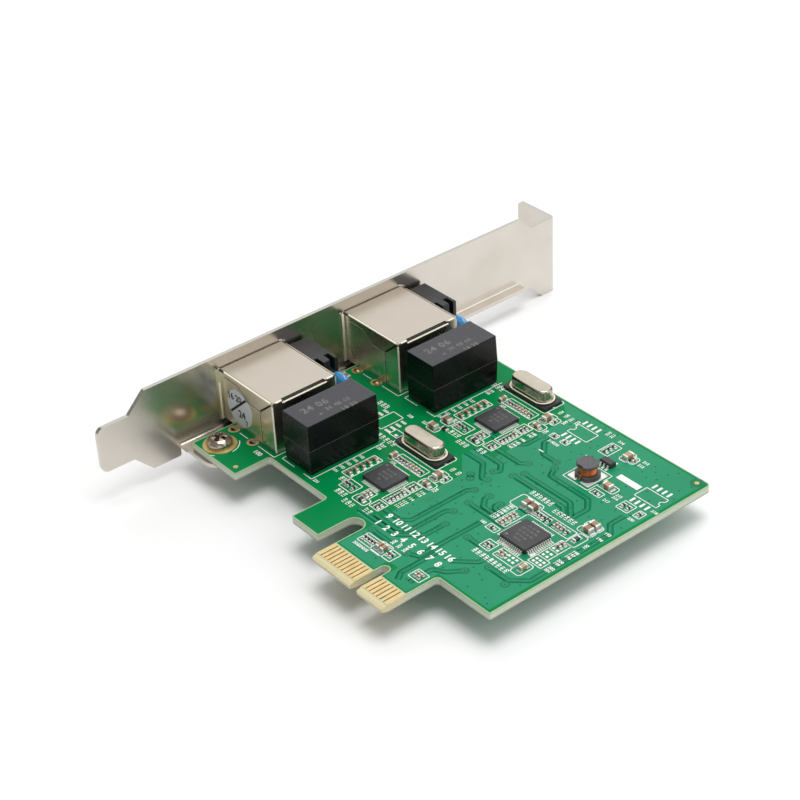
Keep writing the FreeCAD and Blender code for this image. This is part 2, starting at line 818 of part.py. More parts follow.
def place_switch_chips(capacitors, resistors):
    x, y = switch_x, switch_y
    edge = switch_size / 2 + lead_reach
    over, under, left, right = y + edge + 2.3, y - edge - 1.9, x - edge - 2.1, x + edge + 1.7
    capacitors.row(x - 7.3, over + 0.5, 1.75, 2, large_chip)
    resistors.row(x - 4.1, over, 0.95, 3, small_resistor)
    resistors.row(x - 0.9, over, 1, 1, small_resistor)
    capacitors.row(x + 0.9, over, 0.95, 3, small_chip)
    resistors.row(x + 3.9, over, 1, 1, small_resistor)
    resistors.row(x + 6.6, over - 0.1, 1, 1, medium_resistor)
    capacitors.column(left, y - 0.2, 0.9, 5, small_chip)
    resistors.column(left, y - 2.3, 1, 1, small_resistor)
    capacitors.column(right, y + 2.7, 1.0, 2, small_chip)
    capacitors.column(x + 6.2, over + 3.2, 1.75, 2, large_chip)
    resistors.row(x - 3.5, under, 0.95, 2, small_resistor)
    capacitors.row(x + 0.1, under, 0.95, 2, small_chip)
    capacitors.row(x + 6.2, under, 1, 1, medium_chip)


def place_power_chips(capacitors, resistors):
    x, y = inductor_x, inductor_y
    reach = inductor_base_radius
    capacitors.column(x + reach + 3.0, y, 1, 1, large_chip)
    resistors.column(x + reach + 2.8, y - reach - 0.4, 1, 1, small_resistor)
    back = regulator_y + regulator_size[1] / 2
    resistors.column(regulator_x - 3.5, back + 1.9, 1.15, 3, small_resistor)
    capacitors.row(regulator_x + 1.1, back + 3.6, 1, 1, large_chip)
    capacitors.row(regulator_x + 2.7, back + 3.6, 1, 1, small_chip)
    resistors.column(x - 13.7, y + 4.4, 1, 1, small_resistor)
    resistors.column(x - 10.8, y + 4.4, 1, 1, small_resistor)
    resistors.row(x + 11.4, y - 1.8, 1.3, 2, small_resistor)
    resistors.row(x + 15.5, y - 1.8, 1, 1, small_resistor)


def place_connector_chips(capacitors, resistors):
    y = key_depth + 2.4
    resistors.row(-9.7, y, 0.9, 4, small_resistor)
    capacitors.row(-5.6, y + 0.2, 1.25, 2, medium_chip)
    resistors.row(-2.9, y, 0.9, 2, small_resistor)
    capacitors.row(5.2, y, 0.95, 2, small_chip)


def make_chips():
    capacitors, resistors = Chips(), Chips()
    for channel in range(port_count):
        place_channel_chips(capacitors, resistors, channel)
    place_switch_chips(capacitors, resistors)
    place_power_chips(capacitors, resistors)
    place_connector_chips(capacitors, resistors)
    for port in range(port_count - 1):
        y = light_y(port) + holder_width / 2 + 5.4
        capacitors.column(board_left + 2.7, y, 1, 1, large_chip)
    return capacitors, resistors


# ---- label and solder side ------------------------------------------------------------

def make_sticker():
    return cylinder(port_nose + sticker_from_nose, port_first + shield_gauge, sticker_height,
                    sticker_radius, sticker_thickness, V(0, -1, 0))


def pin_places():
    for port in range(port_count):
        middle = port_first + port * port_pitch + port_width / 2
        for i in range(wire_count):
            x = port_nose + 9.5 + (i % 2) * 2.54
            yield x, middle + (i - (wire_count - 1) / 2) * wire_pitch
        light = light_y(port)
        for u in (6.0, 8.5):
            for v in (-1.27, 1.27):
                yield holder_front + u, light + v
        disc_x = holder_front + holder_depth + disc_clearance + disc_radius
        for side in (-1, 1):
            yield disc_x + side * 1.6, light + 0.6
        x0 = transformer_x + (transformer_depth - transformer_pin_rows) / 2
        y0 = transformer_y(port) + transformer_width / 2
        for i in range(transformer_pins):
            v = (i - (transformer_pins - 1) / 2) * transformer_pin_pitch
            yield x0, y0 + v
            yield x0 + transformer_pin_rows, y0 + v


def make_solder_pins():
    size = (pin_size, pin_size, pin_length)
    return group([block(x, y, -board_thickness - pin_length, size) for x, y in pin_places()])


# ---- build ----------------------------------------------------------------------------

def build():
    save("board", make_board())
    save("edge_contacts", make_edge_contacts())
    save("bracket", make_bracket())
    save("bracket_screw", make_screw())
    for port in range(port_count):
        number = port + 1
        save("port_%d_shield" % number, make_shield(port))
        save("port_%d_housing" % number, make_housing(port))
        save("port_%d_contacts" % number, make_wires(port))
        save("light_%d_holder" % number, make_holder(port))
        save("light_%d_lenses" % number, make_lights(port))
        save("transformer_%d_base" % number, make_transformer_base(port))
        save("transformer_%d_cover" % number, make_transformer_cover(port))
        save("disc_capacitor_%d" % number, make_disc(port))
        save("phy_%d_chip" % number, make_phy(port))
        save("phy_%d_pads" % number, make_phy_pads(port))
        save("crystal_%d_base" % number, make_crystal_base(port))
        save("crystal_%d_can" % number, make_crystal_can(port))
        save("crystal_%d_leads" % number, make_crystal_leads(port))
    save("switch_chip", make_switch())
    save("switch_leads", make_switch_leads())
    save("inductor_core", make_inductor_core())
    save("inductor_winding", make_winding())
    save("regulator_body", make_regulator())
    save("regulator_leads", make_regulator_leads())
    capacitors, resistors = make_chips()
    save("chip_capacitors", group(capacitors.bodies))
    save("capacitor_ends", group(capacitors.caps))
    save("chip_resistors", group(resistors.bodies))
    save("resistor_ends", group(resistors.caps))
    save("inspection_sticker", make_sticker())
    save("solder_pins", make_solder_pins())


build()
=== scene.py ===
import bpy
import bmesh
import math
import random
from mathutils import Matrix, Vector


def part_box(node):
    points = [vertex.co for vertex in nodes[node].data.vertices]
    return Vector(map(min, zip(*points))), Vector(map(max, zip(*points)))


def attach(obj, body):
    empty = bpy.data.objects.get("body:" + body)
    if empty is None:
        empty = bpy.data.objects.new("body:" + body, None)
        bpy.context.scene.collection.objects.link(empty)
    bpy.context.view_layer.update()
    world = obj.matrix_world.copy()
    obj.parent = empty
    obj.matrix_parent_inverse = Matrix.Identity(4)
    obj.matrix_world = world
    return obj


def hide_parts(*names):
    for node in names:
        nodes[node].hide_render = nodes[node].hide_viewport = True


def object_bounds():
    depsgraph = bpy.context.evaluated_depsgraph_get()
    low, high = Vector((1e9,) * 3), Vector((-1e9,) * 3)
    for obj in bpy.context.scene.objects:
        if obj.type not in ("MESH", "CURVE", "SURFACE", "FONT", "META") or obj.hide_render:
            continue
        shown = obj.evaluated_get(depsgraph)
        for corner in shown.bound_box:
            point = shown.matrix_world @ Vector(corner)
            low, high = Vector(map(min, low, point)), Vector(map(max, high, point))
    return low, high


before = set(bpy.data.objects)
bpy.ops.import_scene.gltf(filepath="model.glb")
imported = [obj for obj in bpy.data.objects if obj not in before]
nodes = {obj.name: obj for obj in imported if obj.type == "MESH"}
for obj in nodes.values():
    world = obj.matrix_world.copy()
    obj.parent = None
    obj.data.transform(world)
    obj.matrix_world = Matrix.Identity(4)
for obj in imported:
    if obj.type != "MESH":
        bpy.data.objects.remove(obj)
cadLow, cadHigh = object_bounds()
mm = 0.001
quarter = math.pi / 2
ports = (1, 2)
print("frame loaded:", len(nodes), "nodes")


# small helpers
def addNode(tree, kind, inputs=None, **attributes):
    # inputs may be plain values or sockets to link
    made = tree.nodes.new(kind)
    for name, value in attributes.items():
        setattr(made, name, value)
    for name, value in (inputs or {}).items():
        if isinstance(value, bpy.types.NodeSocket):
            tree.links.new(value, made.inputs[name])
        else:
            made.inputs[name].default_value = value
    return made


def flow(tree, kind, inputs=None, **attributes):
    # first output of a new node
    return addNode(tree, kind, inputs, **attributes).outputs[0]


def linear(red, green, blue):
    # screen colour 0..255 to the shader's linear colour
    return tuple((c / 255 / 12.92) if c <= 10 else ((c / 255 + 0.055) / 1.055) ** 2.4
                 for c in (red, green, blue)) + (1,)


def at(x, y, z):
    return Matrix.Translation(Vector((x, y, z)) * mm)


def vertexAt(bm, x, y, z):
    return bm.verts.new(Vector((x, y, z)) * mm)


def angles(count):
    return [2 * math.pi * i / count for i in range(count)]


def linkObject(name, data):
    made = bpy.data.objects.new(name, data)
    bpy.context.collection.objects.link(made)
    return made


def meshObject(name, vertices, edges=(), faces=()):
    # vertices are in millimetres
    mesh = bpy.data.meshes.new(name)
    mesh.from_pydata([Vector(v) * mm for v in vertices], edges, faces)
    mesh.update()
    return linkObject(name, mesh)


def bmeshObject(name, bm, finishName=None, smooth=False):
    mesh = bpy.data.meshes.new(name)
    bm.to_mesh(mesh)
    bm.free()
    if finishName:
        mesh.materials.append(finishes[finishName])
    for face in mesh.polygons:
        face.use_smooth = smooth
    return linkObject(name, mesh)


def boxOf(name):
    low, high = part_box(name)
    return Vector(low) / mm, Vector(high) / mm


def middleOf(name):
    low, high = boxOf(name)
    return (low.x + high.x) / 2, (low.y + high.y) / 2


def weldedMesh(name, reach=1e-6):
    # a CAD node's loose triangles joined up
    bm = bmesh.new()
    bm.from_mesh(nodes[name].data)
    bmesh.ops.remove_doubles(bm, verts=bm.verts[:], dist=reach)
    return bm


def islandBoxes(name):
    # box of each separate solid in a CAD node, in millimetres
    bm = weldedMesh(name)
    left, boxes = set(bm.verts), []
    while left:
        group = [left.pop()]
        for vertex in group:
            near = {edge.other_vert(vertex) for edge in vertex.link_edges} & left
            left -= near
            group += near
        boxes.append(tuple(Vector([pick(v.co[i] for v in group) / mm for i in range(3)]) for pick in (min, max)))
    bm.free()
    return sorted(boxes, key=lambda b: (round(b[0].x, 3), round(b[0].y, 3), b[0].z))


def islandSpots(name):
    return [((high + low) / 2, high - low) for low, high in islandBoxes(name)]


def bridgeRings(bm, rings):
    # faces between neighbouring rings of vertices; a ring of one vertex is a pole
    for low, high in zip(rings, rings[1:]):
        count = max(len(low), len(high))
        for i in range(count):
            j = (i + 1) % count
            corners = [low[i % len(low)], low[j % len(low)], high[j % len(high)], high[i % len(high)]]
            corners = list(dict.fromkeys(corners))
            if len(corners) > 2:
                bm.faces.new(corners)


def finishPiece(piece, replaced=()):
    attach(piece, "root")
    if replaced:
        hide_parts(*replaced)
    return piece


# materials
def ramp(tree, value, start, stop, low=0.0, high=1.0):
    return flow(tree, "ShaderNodeMapRange", {"Value": value, "From Min": start, "From Max": stop, "To Min": low,
                                             "To Max": high})


def blend(tree, factor, base, other):
    return addNode(tree, "ShaderNodeMix", {"Factor": factor, 6: base, 7: other}, data_type="RGBA").outputs[2]


def noise(tree, vector, scale, detail, roughness):
    return flow(tree, "ShaderNodeTexNoise", {"Vector": vector, "Scale": scale, "Detail": detail,
                                             "Roughness": roughness})


def makeFinish(name, look):
    # one principled shader with two-tone mottling, uneven gloss and fine bump on Object coordinates; some looks
    # add a painted top tone: painted shade on nickel tops, painted sheen on moulding tops
    finish = bpy.data.materials.new(name)
    finish.use_nodes = True
    tree = finish.node_tree
    tree.nodes.clear()
    coordinates = addNode(tree, "ShaderNodeTexCoord").outputs
    stretch = look.get("stretch", (1, 1, 1))
    place = flow(tree, "ShaderNodeMapping", {"Vector": coordinates["Object"], "Scale": stretch})
    mottle = ramp(tree, noise(tree, place, look["patchScale"], 4.0, 0.6), 0.35, 0.65)
    tone = blend(tree, mottle, look["colour"], look["colourTwo"])
    if look.get("topColour"):
        # painted light: faces that look up take a painted top tone, a painted shade on the nickel parts and a
        # painted sheen on the moulding
        facing = addNode(tree, "ShaderNodeSeparateXYZ", {0: coordinates["Normal"]}).outputs["Z"]
        paintedTopMask = ramp(tree, facing, 0.6, 0.95)
        # the painted shade can be kept to faces above a given height
        if look.get("topFrom"):
            height = addNode(tree, "ShaderNodeSeparateXYZ", {0: coordinates["Object"]}).outputs["Z"]
            above = flow(tree, "ShaderNodeMath", {0: height, 1: look["topFrom"]}, operation="GREATER_THAN")
            paintedTopMask = flow(tree, "ShaderNodeMath", {0: paintedTopMask, 1: above}, operation="MULTIPLY")
        tone = blend(tree, paintedTopMask, tone, look["topColour"])
    if look.get("layers"):
        tone = layerTone(tree, tone, coordinates["Object"])
    gloss = noise(tree, place, look.get("glossScale", 300), 3.0, 0.5)
    shader = addNode(tree, "ShaderNodeBsdfPrincipled", {
        "Base Color": tone, "Roughness": ramp(tree, gloss, 0.3, 0.7, *look["roughness"]),
        "Metallic": look.get("metallic", 0), "Specular IOR Level": look.get("specular", 0.5), "IOR": 1.5,
        "Coat Weight": look.get("coat", 0), "Coat Roughness": 0.1, "Transmission Weight": look.get("clear", 0)})
    if look.get("bump"):
        strength, grainScale = look["bump"]
        bump = flow(tree, "ShaderNodeBump", {"Height": noise(tree, place, grainScale, 5.0, 0.6),
                                             "Strength": strength, "Distance": 0.00002})
        tree.links.new(bump, shader.inputs["Normal"])
    addNode(tree, "ShaderNodeOutputMaterial", {"Surface": shader.outputs[0]})
    return finish


layers = {"scale": 900.0, "tones": (0.9, 1.03), "skin": linear(150, 178, 122), "foot": linear(146, 134, 110),
          "bare": linear(212, 200, 156)}


def layerTone(tree, base, coordinates):
    # the cut edge shows level glass layers, green at the top, brown at the foot, cream at the bare tab
    along = addNode(tree, "ShaderNodeSeparateXYZ", {0: coordinates}).outputs
    tone = blend(tree, ramp(tree, along["Z"], -0.5 * mm, 0.1 * mm, 0, 0.8), base, layers["skin"])
    tone = blend(tree, ramp(tree, along["Z"], -1.2 * mm, -1.5 * mm, 0, 0.85), tone, layers["foot"])
    tab = flow(tree, "ShaderNodeMath", {
        0: ramp(tree, along["Y"], 7 * mm, 4 * mm),
        1: ramp(tree, along["X"], -16 * mm, -14 * mm, 0, 0.9)}, operation="MULTIPLY")
    tone = blend(tree, tab, tone, layers["bare"])
    bands = addNode(tree, "ShaderNodeTexWave", {"Vector": coordinates, "Scale": layers["scale"], "Distortion": 1.2,
                                                "Detail": 2.0, "Detail Scale": 2.0}, bands_direction="Z")
    bandTone = ramp(tree, bands.outputs["Fac"], 0, 1, *layers["tones"])
    return flow(tree, "ShaderNodeVectorMath", {0: tone, 1: bandTone}, operation="MULTIPLY")


def tones(first, second, patchScale, roughness, **more):
    # two screen colours, the scale of their mottling and a range of roughness
    return {"colour": linear(*first), "colourTwo": linear(*second), "patchScale": patchScale,
            "roughness": roughness, **more}


looks = {
    "laminate": tones((204, 213, 194), (188, 198, 178), 900, (0.45, 0.6), stretch=(1, 1, 9), bump=(0.3, 3000),
                      layers=True),
    "solderMask": tones((0, 117, 62), (0, 125, 68), 60, (0.3, 0.38), glossScale=500, bump=(0.05, 1500),
                        specular=0.06),
    "maskOverPour": tones((14, 129, 88), (20, 137, 96), 45, (0.3, 0.38), glossScale=500, bump=(0.05, 1500),
                          specular=0.18),
    "maskOverGap": tones((6, 109, 71), (9, 115, 77), 200, (0.3, 0.4), bump=(0.05, 1500), specular=0.15),
    "maskOverTrace": tones((12, 124, 83), (17, 131, 90), 200, (0.28, 0.36), bump=(0.05, 1500), specular=0.18),
    "fingerGap": tones((132, 108, 66), (112, 90, 52), 900, (0.5, 0.6)),
    # painted shade for the deep part of the screw's cross recess
    "paintedRecessShade": tones((70, 58, 54), (96, 82, 76), 900, (0.3, 0.4), metallic=0.8),
    "seamPale": tones((66, 70, 68), (56, 60, 58), 900, (0.35, 0.45)),
    "seamShadow": tones((24, 20, 14), (34, 28, 20), 900, (0.4, 0.5), specular=0.2),
    # painted highlight: near-white cream for folds, rims and strips that catch the light
    "paintedHighlight": tones((255, 249, 230), (248, 240, 216), 300, (0.34, 0.42), metallic=0.1),
    "padGold": tones((228, 204, 140), (190, 156, 92), 320, (0.25, 0.36), metallic=0.55),
    "wellShadow": tones((34, 34, 37), (40, 40, 43), 900, (0.3, 0.4)),
    "viaWell": tones((2, 62, 38), (4, 70, 44), 900, (0.35, 0.45), specular=0.2),
    "gold": tones((214, 191, 138), (202, 176, 118), 500, (0.26, 0.36), bump=(0.1, 4000), metallic=0.7),
    # painted shade: the bracket's up-facing edges above 9 mm take a darker grey
    "bracketNickel": tones((215, 209, 200), (204, 197, 187), 45, (0.19, 0.28), glossScale=90, bump=(0.06, 900),
                           metallic=1, topColour=linear(172, 171, 164), topFrom=9 * mm),
    # painted shade: the shields' up-facing faces take a darker, greyer tone than their walls
    "shieldNickel": tones((232, 226, 210), (218, 211, 194), 120, (0.26, 0.34), glossScale=220, bump=(0.08, 2500),
                          metallic=1, topColour=linear(179, 171, 159)),
    "screwNickel": tones((188, 176, 158), (168, 154, 136), 400, (0.12, 0.2), bump=(0.05, 3000), metallic=1),
    "canNickel": tones((186, 178, 164), (174, 166, 150), 260, (0.18, 0.24), bump=(0.02, 2500), metallic=1),
    "tin": tones((236, 236, 230), (216, 216, 210), 900, (0.28, 0.4), bump=(0.12, 5000), metallic=0.45),
    "springGold": tones((226, 190, 110), (210, 170, 92), 500, (0.15, 0.25), metallic=1),
    "socketPlastic": tones((20, 20, 22), (26, 26, 28), 300, (0.42, 0.55), bump=(0.25, 3500)),
    "holderPlastic": tones((22, 22, 24), (30, 30, 32), 300, (0.4, 0.55), bump=(0.25, 3500)),
    # painted sheen: faces that look up take a lighter grey than the near-black sides
    "moulding": tones((6, 8, 9), (9, 11, 12), 200, (0.22, 0.32), glossScale=400, bump=(0.3, 3000), specular=0.22,
                      topColour=linear(57, 57, 62)),
    "chipBlack": tones((40, 40, 43), (50, 50, 53), 400, (0.42, 0.55), bump=(0.3, 6000)),
    "crystalSeat": tones((22, 22, 23), (30, 30, 31), 400, (0.4, 0.55), bump=(0.2, 4000)),
    "discBlue": tones((72, 150, 206), (58, 134, 192), 300, (0.2, 0.3), bump=(0.2, 1200), coat=0.4),
    "ceramic": tones((186, 150, 114), (98, 72, 52), 140, (0.4, 0.55), bump=(0.2, 6000)),
    "resistorGlaze": tones((24, 24, 26), (34, 34, 36), 900, (0.25, 0.35), coat=0.3),
    "ferrite": tones((86, 86, 90), (70, 70, 74), 600, (0.5, 0.65), bump=(0.35, 5000)),
    "enamelCopper": tones((240, 134, 58), (196, 96, 36), 900, (0.18, 0.28), metallic=0.7, coat=0.5),
    "whiteInk": tones((238, 240, 234), (224, 228, 220), 900, (0.5, 0.65), bump=(0.2, 4000)),
    "greyInk": tones((108, 103, 98), (86, 83, 80), 1500, (0.5, 0.65)),
    "blackInk": tones((14, 14, 15), (20, 20, 21), 900, (0.5, 0.6)),
    "label": tones((206, 212, 216), (196, 202, 206), 300, (0.3, 0.4), bump=(0.1, 2500)),
    "lens": tones((206, 214, 196), (190, 200, 180), 300, (0.12, 0.2), clear=0.35),
    "solder": tones((206, 206, 204), (186, 186, 186), 900, (0.2, 0.3), bump=(0.1, 2500), metallic=1),
}
finishes = {name: makeFinish(name, look) for name, look in looks.items()}

# keyed by a node's name, or by its last word
cadFinishes = {
    "board": "laminate", "edge_contacts": "gold", "bracket": "bracketNickel", "bracket_screw": "screwNickel",
    "shield": "shieldNickel", "housing": "socketPlastic", "contacts": "springGold", "holder": "holderPlastic",
    "lenses": "lens", "base": "moulding", "cover": "moulding", "disc_capacitor_1": "discBlue",
    "disc_capacitor_2": "discBlue", "crystal_1_base": "crystalSeat", "crystal_2_base": "crystalSeat",
    "chip": "chipBlack", "pads": "tin", "can": "canNickel", "leads": "tin", "inductor_core": "ferrite",
    "inductor_winding": "enamelCopper", "regulator_body": "chipBlack", "chip_capacitors": "ceramic",
    "capacitor_ends": "tin", "chip_resistors": "resistorGlaze", "resistor_ends": "tin",
    "inspection_sticker": "label", "solder_pins": "solder"}
for name, piece in nodes.items():
    key = name if name in cadFinishes else name.split("_")[-1]
    for slot in piece.material_slots:
        slot.material = finishes[cadFinishes[key]]
print("materials ready:", len(finishes))


# geometry node trees
def newTree(name, inputs):
    # inputs are (label, kind, value); every tree also takes geometry and a finish
    tree = bpy.data.node_groups.new(name, "GeometryNodeTree")
    tree.interface.new_socket(name="Geometry", in_out="OUTPUT", socket_type="NodeSocketGeometry")
    for label, kind, value in [("Geometry", "Geometry", None), *inputs, ("Finish", "Material", None)]:
        socket = tree.interface.new_socket(name=label, in_out="INPUT", socket_type="NodeSocket" + kind)
        if value is not None:
            socket.default_value = value
    return tree, addNode(tree, "NodeGroupInput").outputs


def closeTree(tree, geometry, finish):
    real = flow(tree, "GeometryNodeRealizeInstances", {"Geometry": geometry})
    done = flow(tree, "GeometryNodeSetMaterial", {"Geometry": real, "Material": finish})
    addNode(tree, "NodeGroupOutput", {0: done})
    return tree


def strokeTree():
    # edges become flat strokes with rounded corners: silk lines and copper traces
    tree, given = newTree("strokes", [("Width", "Float", 0.15 * mm), ("Thickness", "Float", 0.02 * mm),
                                      ("Corner", "Float", 0.2 * mm)])
    curve = flow(tree, "GeometryNodeMeshToCurve", {"Mesh": given["Geometry"]})
    upright = flow(tree, "GeometryNodeSetCurveNormal", {"Curve": curve}, mode="Z_UP")
    fillet = flow(tree, "GeometryNodeFilletCurve", {"Curve": upright, "Count": 4, "Radius": given["Corner"],
                                                    "Limit Radius": True}, mode="POLY")
    profile = flow(tree, "GeometryNodeCurvePrimitiveQuadrilateral", {"Width": given["Width"],
                                                                     "Height": given["Thickness"]})
    body = flow(tree, "GeometryNodeCurveToMesh", {"Curve": fillet, "Profile Curve": profile, "Fill Caps": True})
    return closeTree(tree, body, given["Finish"])


def wireTree():
    # edges become round wires, also the painted highlight wires along folds and rims
    tree, given = newTree("wires", [("Radius", "Float", 0.2 * mm), ("Sides", "Int", 10)])
    curve = flow(tree, "GeometryNodeMeshToCurve", {"Mesh": given["Geometry"]})
    profile = flow(tree, "GeometryNodeCurvePrimitiveCircle", {"Resolution": given["Sides"],
                                                              "Radius": given["Radius"]})
    body = flow(tree, "GeometryNodeCurveToMesh", {"Curve": curve, "Profile Curve": profile, "Fill Caps": True})
    return closeTree(tree, flow(tree, "GeometryNodeSetShadeSmooth", {"Geometry": body}), given["Finish"])


def placeTree():
    # a shape repeated on points, each with its own turn and stretch
    tree, given = newTree("placed shapes", [("Shape", "Object", None), ("Size Spread", "Float", 0.0),
                                            ("Seed", "Int", 3)])
    shape = addNode(tree, "GeometryNodeObjectInfo", {"Object": given["Shape"]}).outputs["Geometry"]
    turn = flow(tree, "GeometryNodeInputNamedAttribute", {"Name": "turn"}, data_type="FLOAT")
    stretch = flow(tree, "GeometryNodeInputNamedAttribute", {"Name": "stretch"}, data_type="FLOAT_VECTOR")
    less = flow(tree, "ShaderNodeMath", {0: 1.0, 1: given["Size Spread"]}, operation="SUBTRACT")
    more = flow(tree, "ShaderNodeMath", {0: 1.0, 1: given["Size Spread"]}, operation="ADD")
    spread = addNode(tree, "FunctionNodeRandomValue", {2: less, 3: more, "Seed": given["Seed"]}, data_type="FLOAT")
    copies = flow(tree, "GeometryNodeInstanceOnPoints", {
        "Points": flow(tree, "GeometryNodeMeshToPoints", {"Mesh": given["Geometry"]}), "Instance": shape,
        "Rotation": flow(tree, "ShaderNodeCombineXYZ", {"Z": turn}),
        "Scale": flow(tree, "ShaderNodeVectorMath", {0: stretch, "Scale": spread.outputs[1]}, operation="SCALE")})
    return closeTree(tree, copies, given["Finish"])


trees = {"strokes": strokeTree(), "wires": wireTree(), "placed": placeTree()}


def growPiece(piece, kind, values):
    # runs a tree once and keeps its result as a plain mesh
    modifier = piece.modifiers.new("grow", "NODES")
    modifier.node_group = trees[kind]
    sockets = {item.name: item.identifier for item in trees[kind].interface.items_tree if item.in_out == "INPUT"}
    for label, value in values.items():
        modifier[sockets[label]] = value
    old = piece.data
    piece.data = bpy.data.meshes.new_from_object(piece.evaluated_get(bpy.context.evaluated_depsgraph_get()))
    piece.modifiers.clear()
    bpy.data.meshes.remove(old)


def lineObject(name, lines, close):
    # close joins up a line that ends where it starts
    vertices, edges = [], []
    for line in lines:
        closed = close and len(line) > 2 and line[0] == line[-1]
        points = line[:-1] if closed else line
        first, last = len(vertices), len(vertices) + len(points) - 1
        vertices += points
        edges += [(i, i + 1) for i in range(first, last)]
        if closed:
            edges.append((last, first))
    return meshObject(name, vertices, edges)


def drawStrokes(name, lines, z, width, finishName, corner=0.2, thickness=0.012, move=None):
    # lines are lists of (x, y) points in millimetres
    piece = lineObject(name, [[(x, y, z) for x, y in line] for line in lines], True)
    growPiece(piece, "strokes", {"Width": width * mm, "Thickness": thickness * mm, "Corner": corner * mm,
                                 "Finish": finishes[finishName]})
    if move:
        piece.data.transform(move)
    return finishPiece(piece)


def drawWires(name, lines, radius, finishName, sides=10, replaced=()):
    # lines are lists of (x, y, z) points in millimetres
    piece = lineObject(name, lines, False)
    growPiece(piece, "wires", {"Radius": radius * mm, "Sides": sides, "Finish": finishes[finishName]})
    return finishPiece(piece, replaced)


def placeCopies(name, shape, spots, finishName, spread=0.0, replaced=()):
    # spots are (x, y, z), then a size (one number or three) and a turn if they have them
    piece = meshObject(name, [spot[:3] for spot in spots])
    turns = piece.data.attributes.new("turn", "FLOAT", "POINT")
    sizes = piece.data.attributes.new("stretch", "FLOAT_VECTOR", "POINT")
    for index, spot in enumerate(spots):
        size, turn = (tuple(spot[3:]) + (1.0, 0.0)[len(spot) - 3:])
        turns.data[index].value = turn
        sizes.data[index].vector = size if isinstance(size, tuple) else (size,) * 3
    growPiece(piece, "placed", {"Shape": shape, "Size Spread": spread, "Finish": finishes[finishName]})
    return finishPiece(piece, replaced)


templates = []


def template(name, bm, smooth=False):
    # a shape to repeat, taken away at the end
    templates.append(bmeshObject(name, bm, smooth=smooth))
    return templates[-1]


def softBox(name, size, edge, segments=2):
    # rounded block whose base sits on z = 0
    bm = bmesh.new()
    bmesh.ops.create_cube(bm, size=1)
    for vertex in bm.verts:
        vertex.co = Vector((vertex.co.x * size[0], vertex.co.y * size[1], (vertex.co.z + 0.5) * size[2])) * mm
    bmesh.ops.bevel(bm, geom=bm.edges[:], offset=edge * mm, segments=segments, profile=0.6, affect="EDGES")
    return template(name, bm, True)


def disc(name, radius, inner=0.0, sides=20, height=0.004):
    # flat ring or disc
    bm = bmesh.new()
    rings = [[vertexAt(bm, math.cos(a) * r, math.sin(a) * r, height) for a in angles(sides)]
             for r in (radius, inner) if r]
    if inner:
        bridgeRings(bm, rings)
    else:
        bm.faces.new(rings[0])
    return template(name, bm)


def flatPatch(name, outline, z, finishName):
    bm = bmesh.new()
    bm.faces.new([vertexAt(bm, x, y, z) for x, y in outline])
    bm.normal_update()
    bmesh.ops.triangulate(bm, faces=bm.faces[:])
    bm.normal_update()
    bm.faces.ensure_lookup_table()
    if bm.faces[0].normal.z * (1 if z > -1 else -1) < 0:
        bmesh.ops.reverse_faces(bm, faces=bm.faces[:])
    return finishPiece(bmeshObject(name, bm, finishName))


# solder mask
mask = {"inset": 0.22, "lift": 0.012, "bareBelow": 5.75, "tab": (-13, 10)}
underZ = boxOf("board")[0].z


def makeMask(name, z, side):
    # the board's face, pulled in from its edges, with the connector left bare
    bm = weldedMesh("board")
    drop = [f for f in bm.faces if f.normal.z * side < 0.99 or abs(f.calc_center_median().z / mm - z) > 0.05]
    bmesh.ops.delete(bm, geom=drop, context="FACES")
    rim = bmesh.ops.inset_region(bm, faces=bm.faces[:], thickness=mask["inset"] * mm, use_boundary=True,
                                 use_even_offset=True)
    bmesh.ops.delete(bm, geom=rim["faces"], context="FACES")
    cut, (left, right) = mask["bareBelow"] * mm, mask["tab"]
    bmesh.ops.bisect_plane(bm, geom=bm.verts[:] + bm.edges[:] + bm.faces[:], plane_co=(0, cut, 0),
                           plane_no=(0, 1, 0))
    middles = [(f, f.calc_center_median()) for f in bm.faces]
    bare = [f for f, middle in middles if middle.y < cut and left * mm < middle.x < right * mm]
    bmesh.ops.delete(bm, geom=bare, context="FACES")
    for vertex in bm.verts:
        vertex.co.z = (z + side * mask["lift"]) * mm
    return finishPiece(bmeshObject(name, bm, "solderMask"))


makeMask("mask_top", 0.0, 1)
makeMask("mask_under", underZ, -1)
print("solder mask done")


# copper under the mask: pours, traces and vias; a channel is one network port's half of the board
channelStep = 28.45
copper = {"pourLift": 0.016, "patchLift": 0.019, "gapWidth": 1.3, "gapThickness": 0.004, "gapLift": 0.020,
          "traceWidth": 0.72, "traceLift": 0.028, "corner": 0.6, "viaLift": 0.033, "viaPad": 0.55, "viaGap": 0.95}
pourOutline = [(-16.6, 14.2), (-16.6, 16.0), (-12.4, 16.0), (-12.4, 36.6), (-17.4, 40.9), (-17.4, 44.4),
               (-12.4, 44.4), (-12.4, 64.0), (-17.4, 67.9), (21.2, 67.9), (21.2, 13.6), (7.6, 13.6), (7.6, 6.1),
               (1.4, 6.1), (1.4, 9.4), (-1.4, 9.4), (-1.4, 6.1), (-11.6, 6.1), (-11.6, 14.2)]
deepPatches = [[(-11.6, 24.6), (-9.8, 26.2), (-9.8, 34.8), (-11.6, 36.4)],
               [(5.8, 27.4), (15.4, 27.4), (15.4, 37.1), (5.8, 37.1)]]
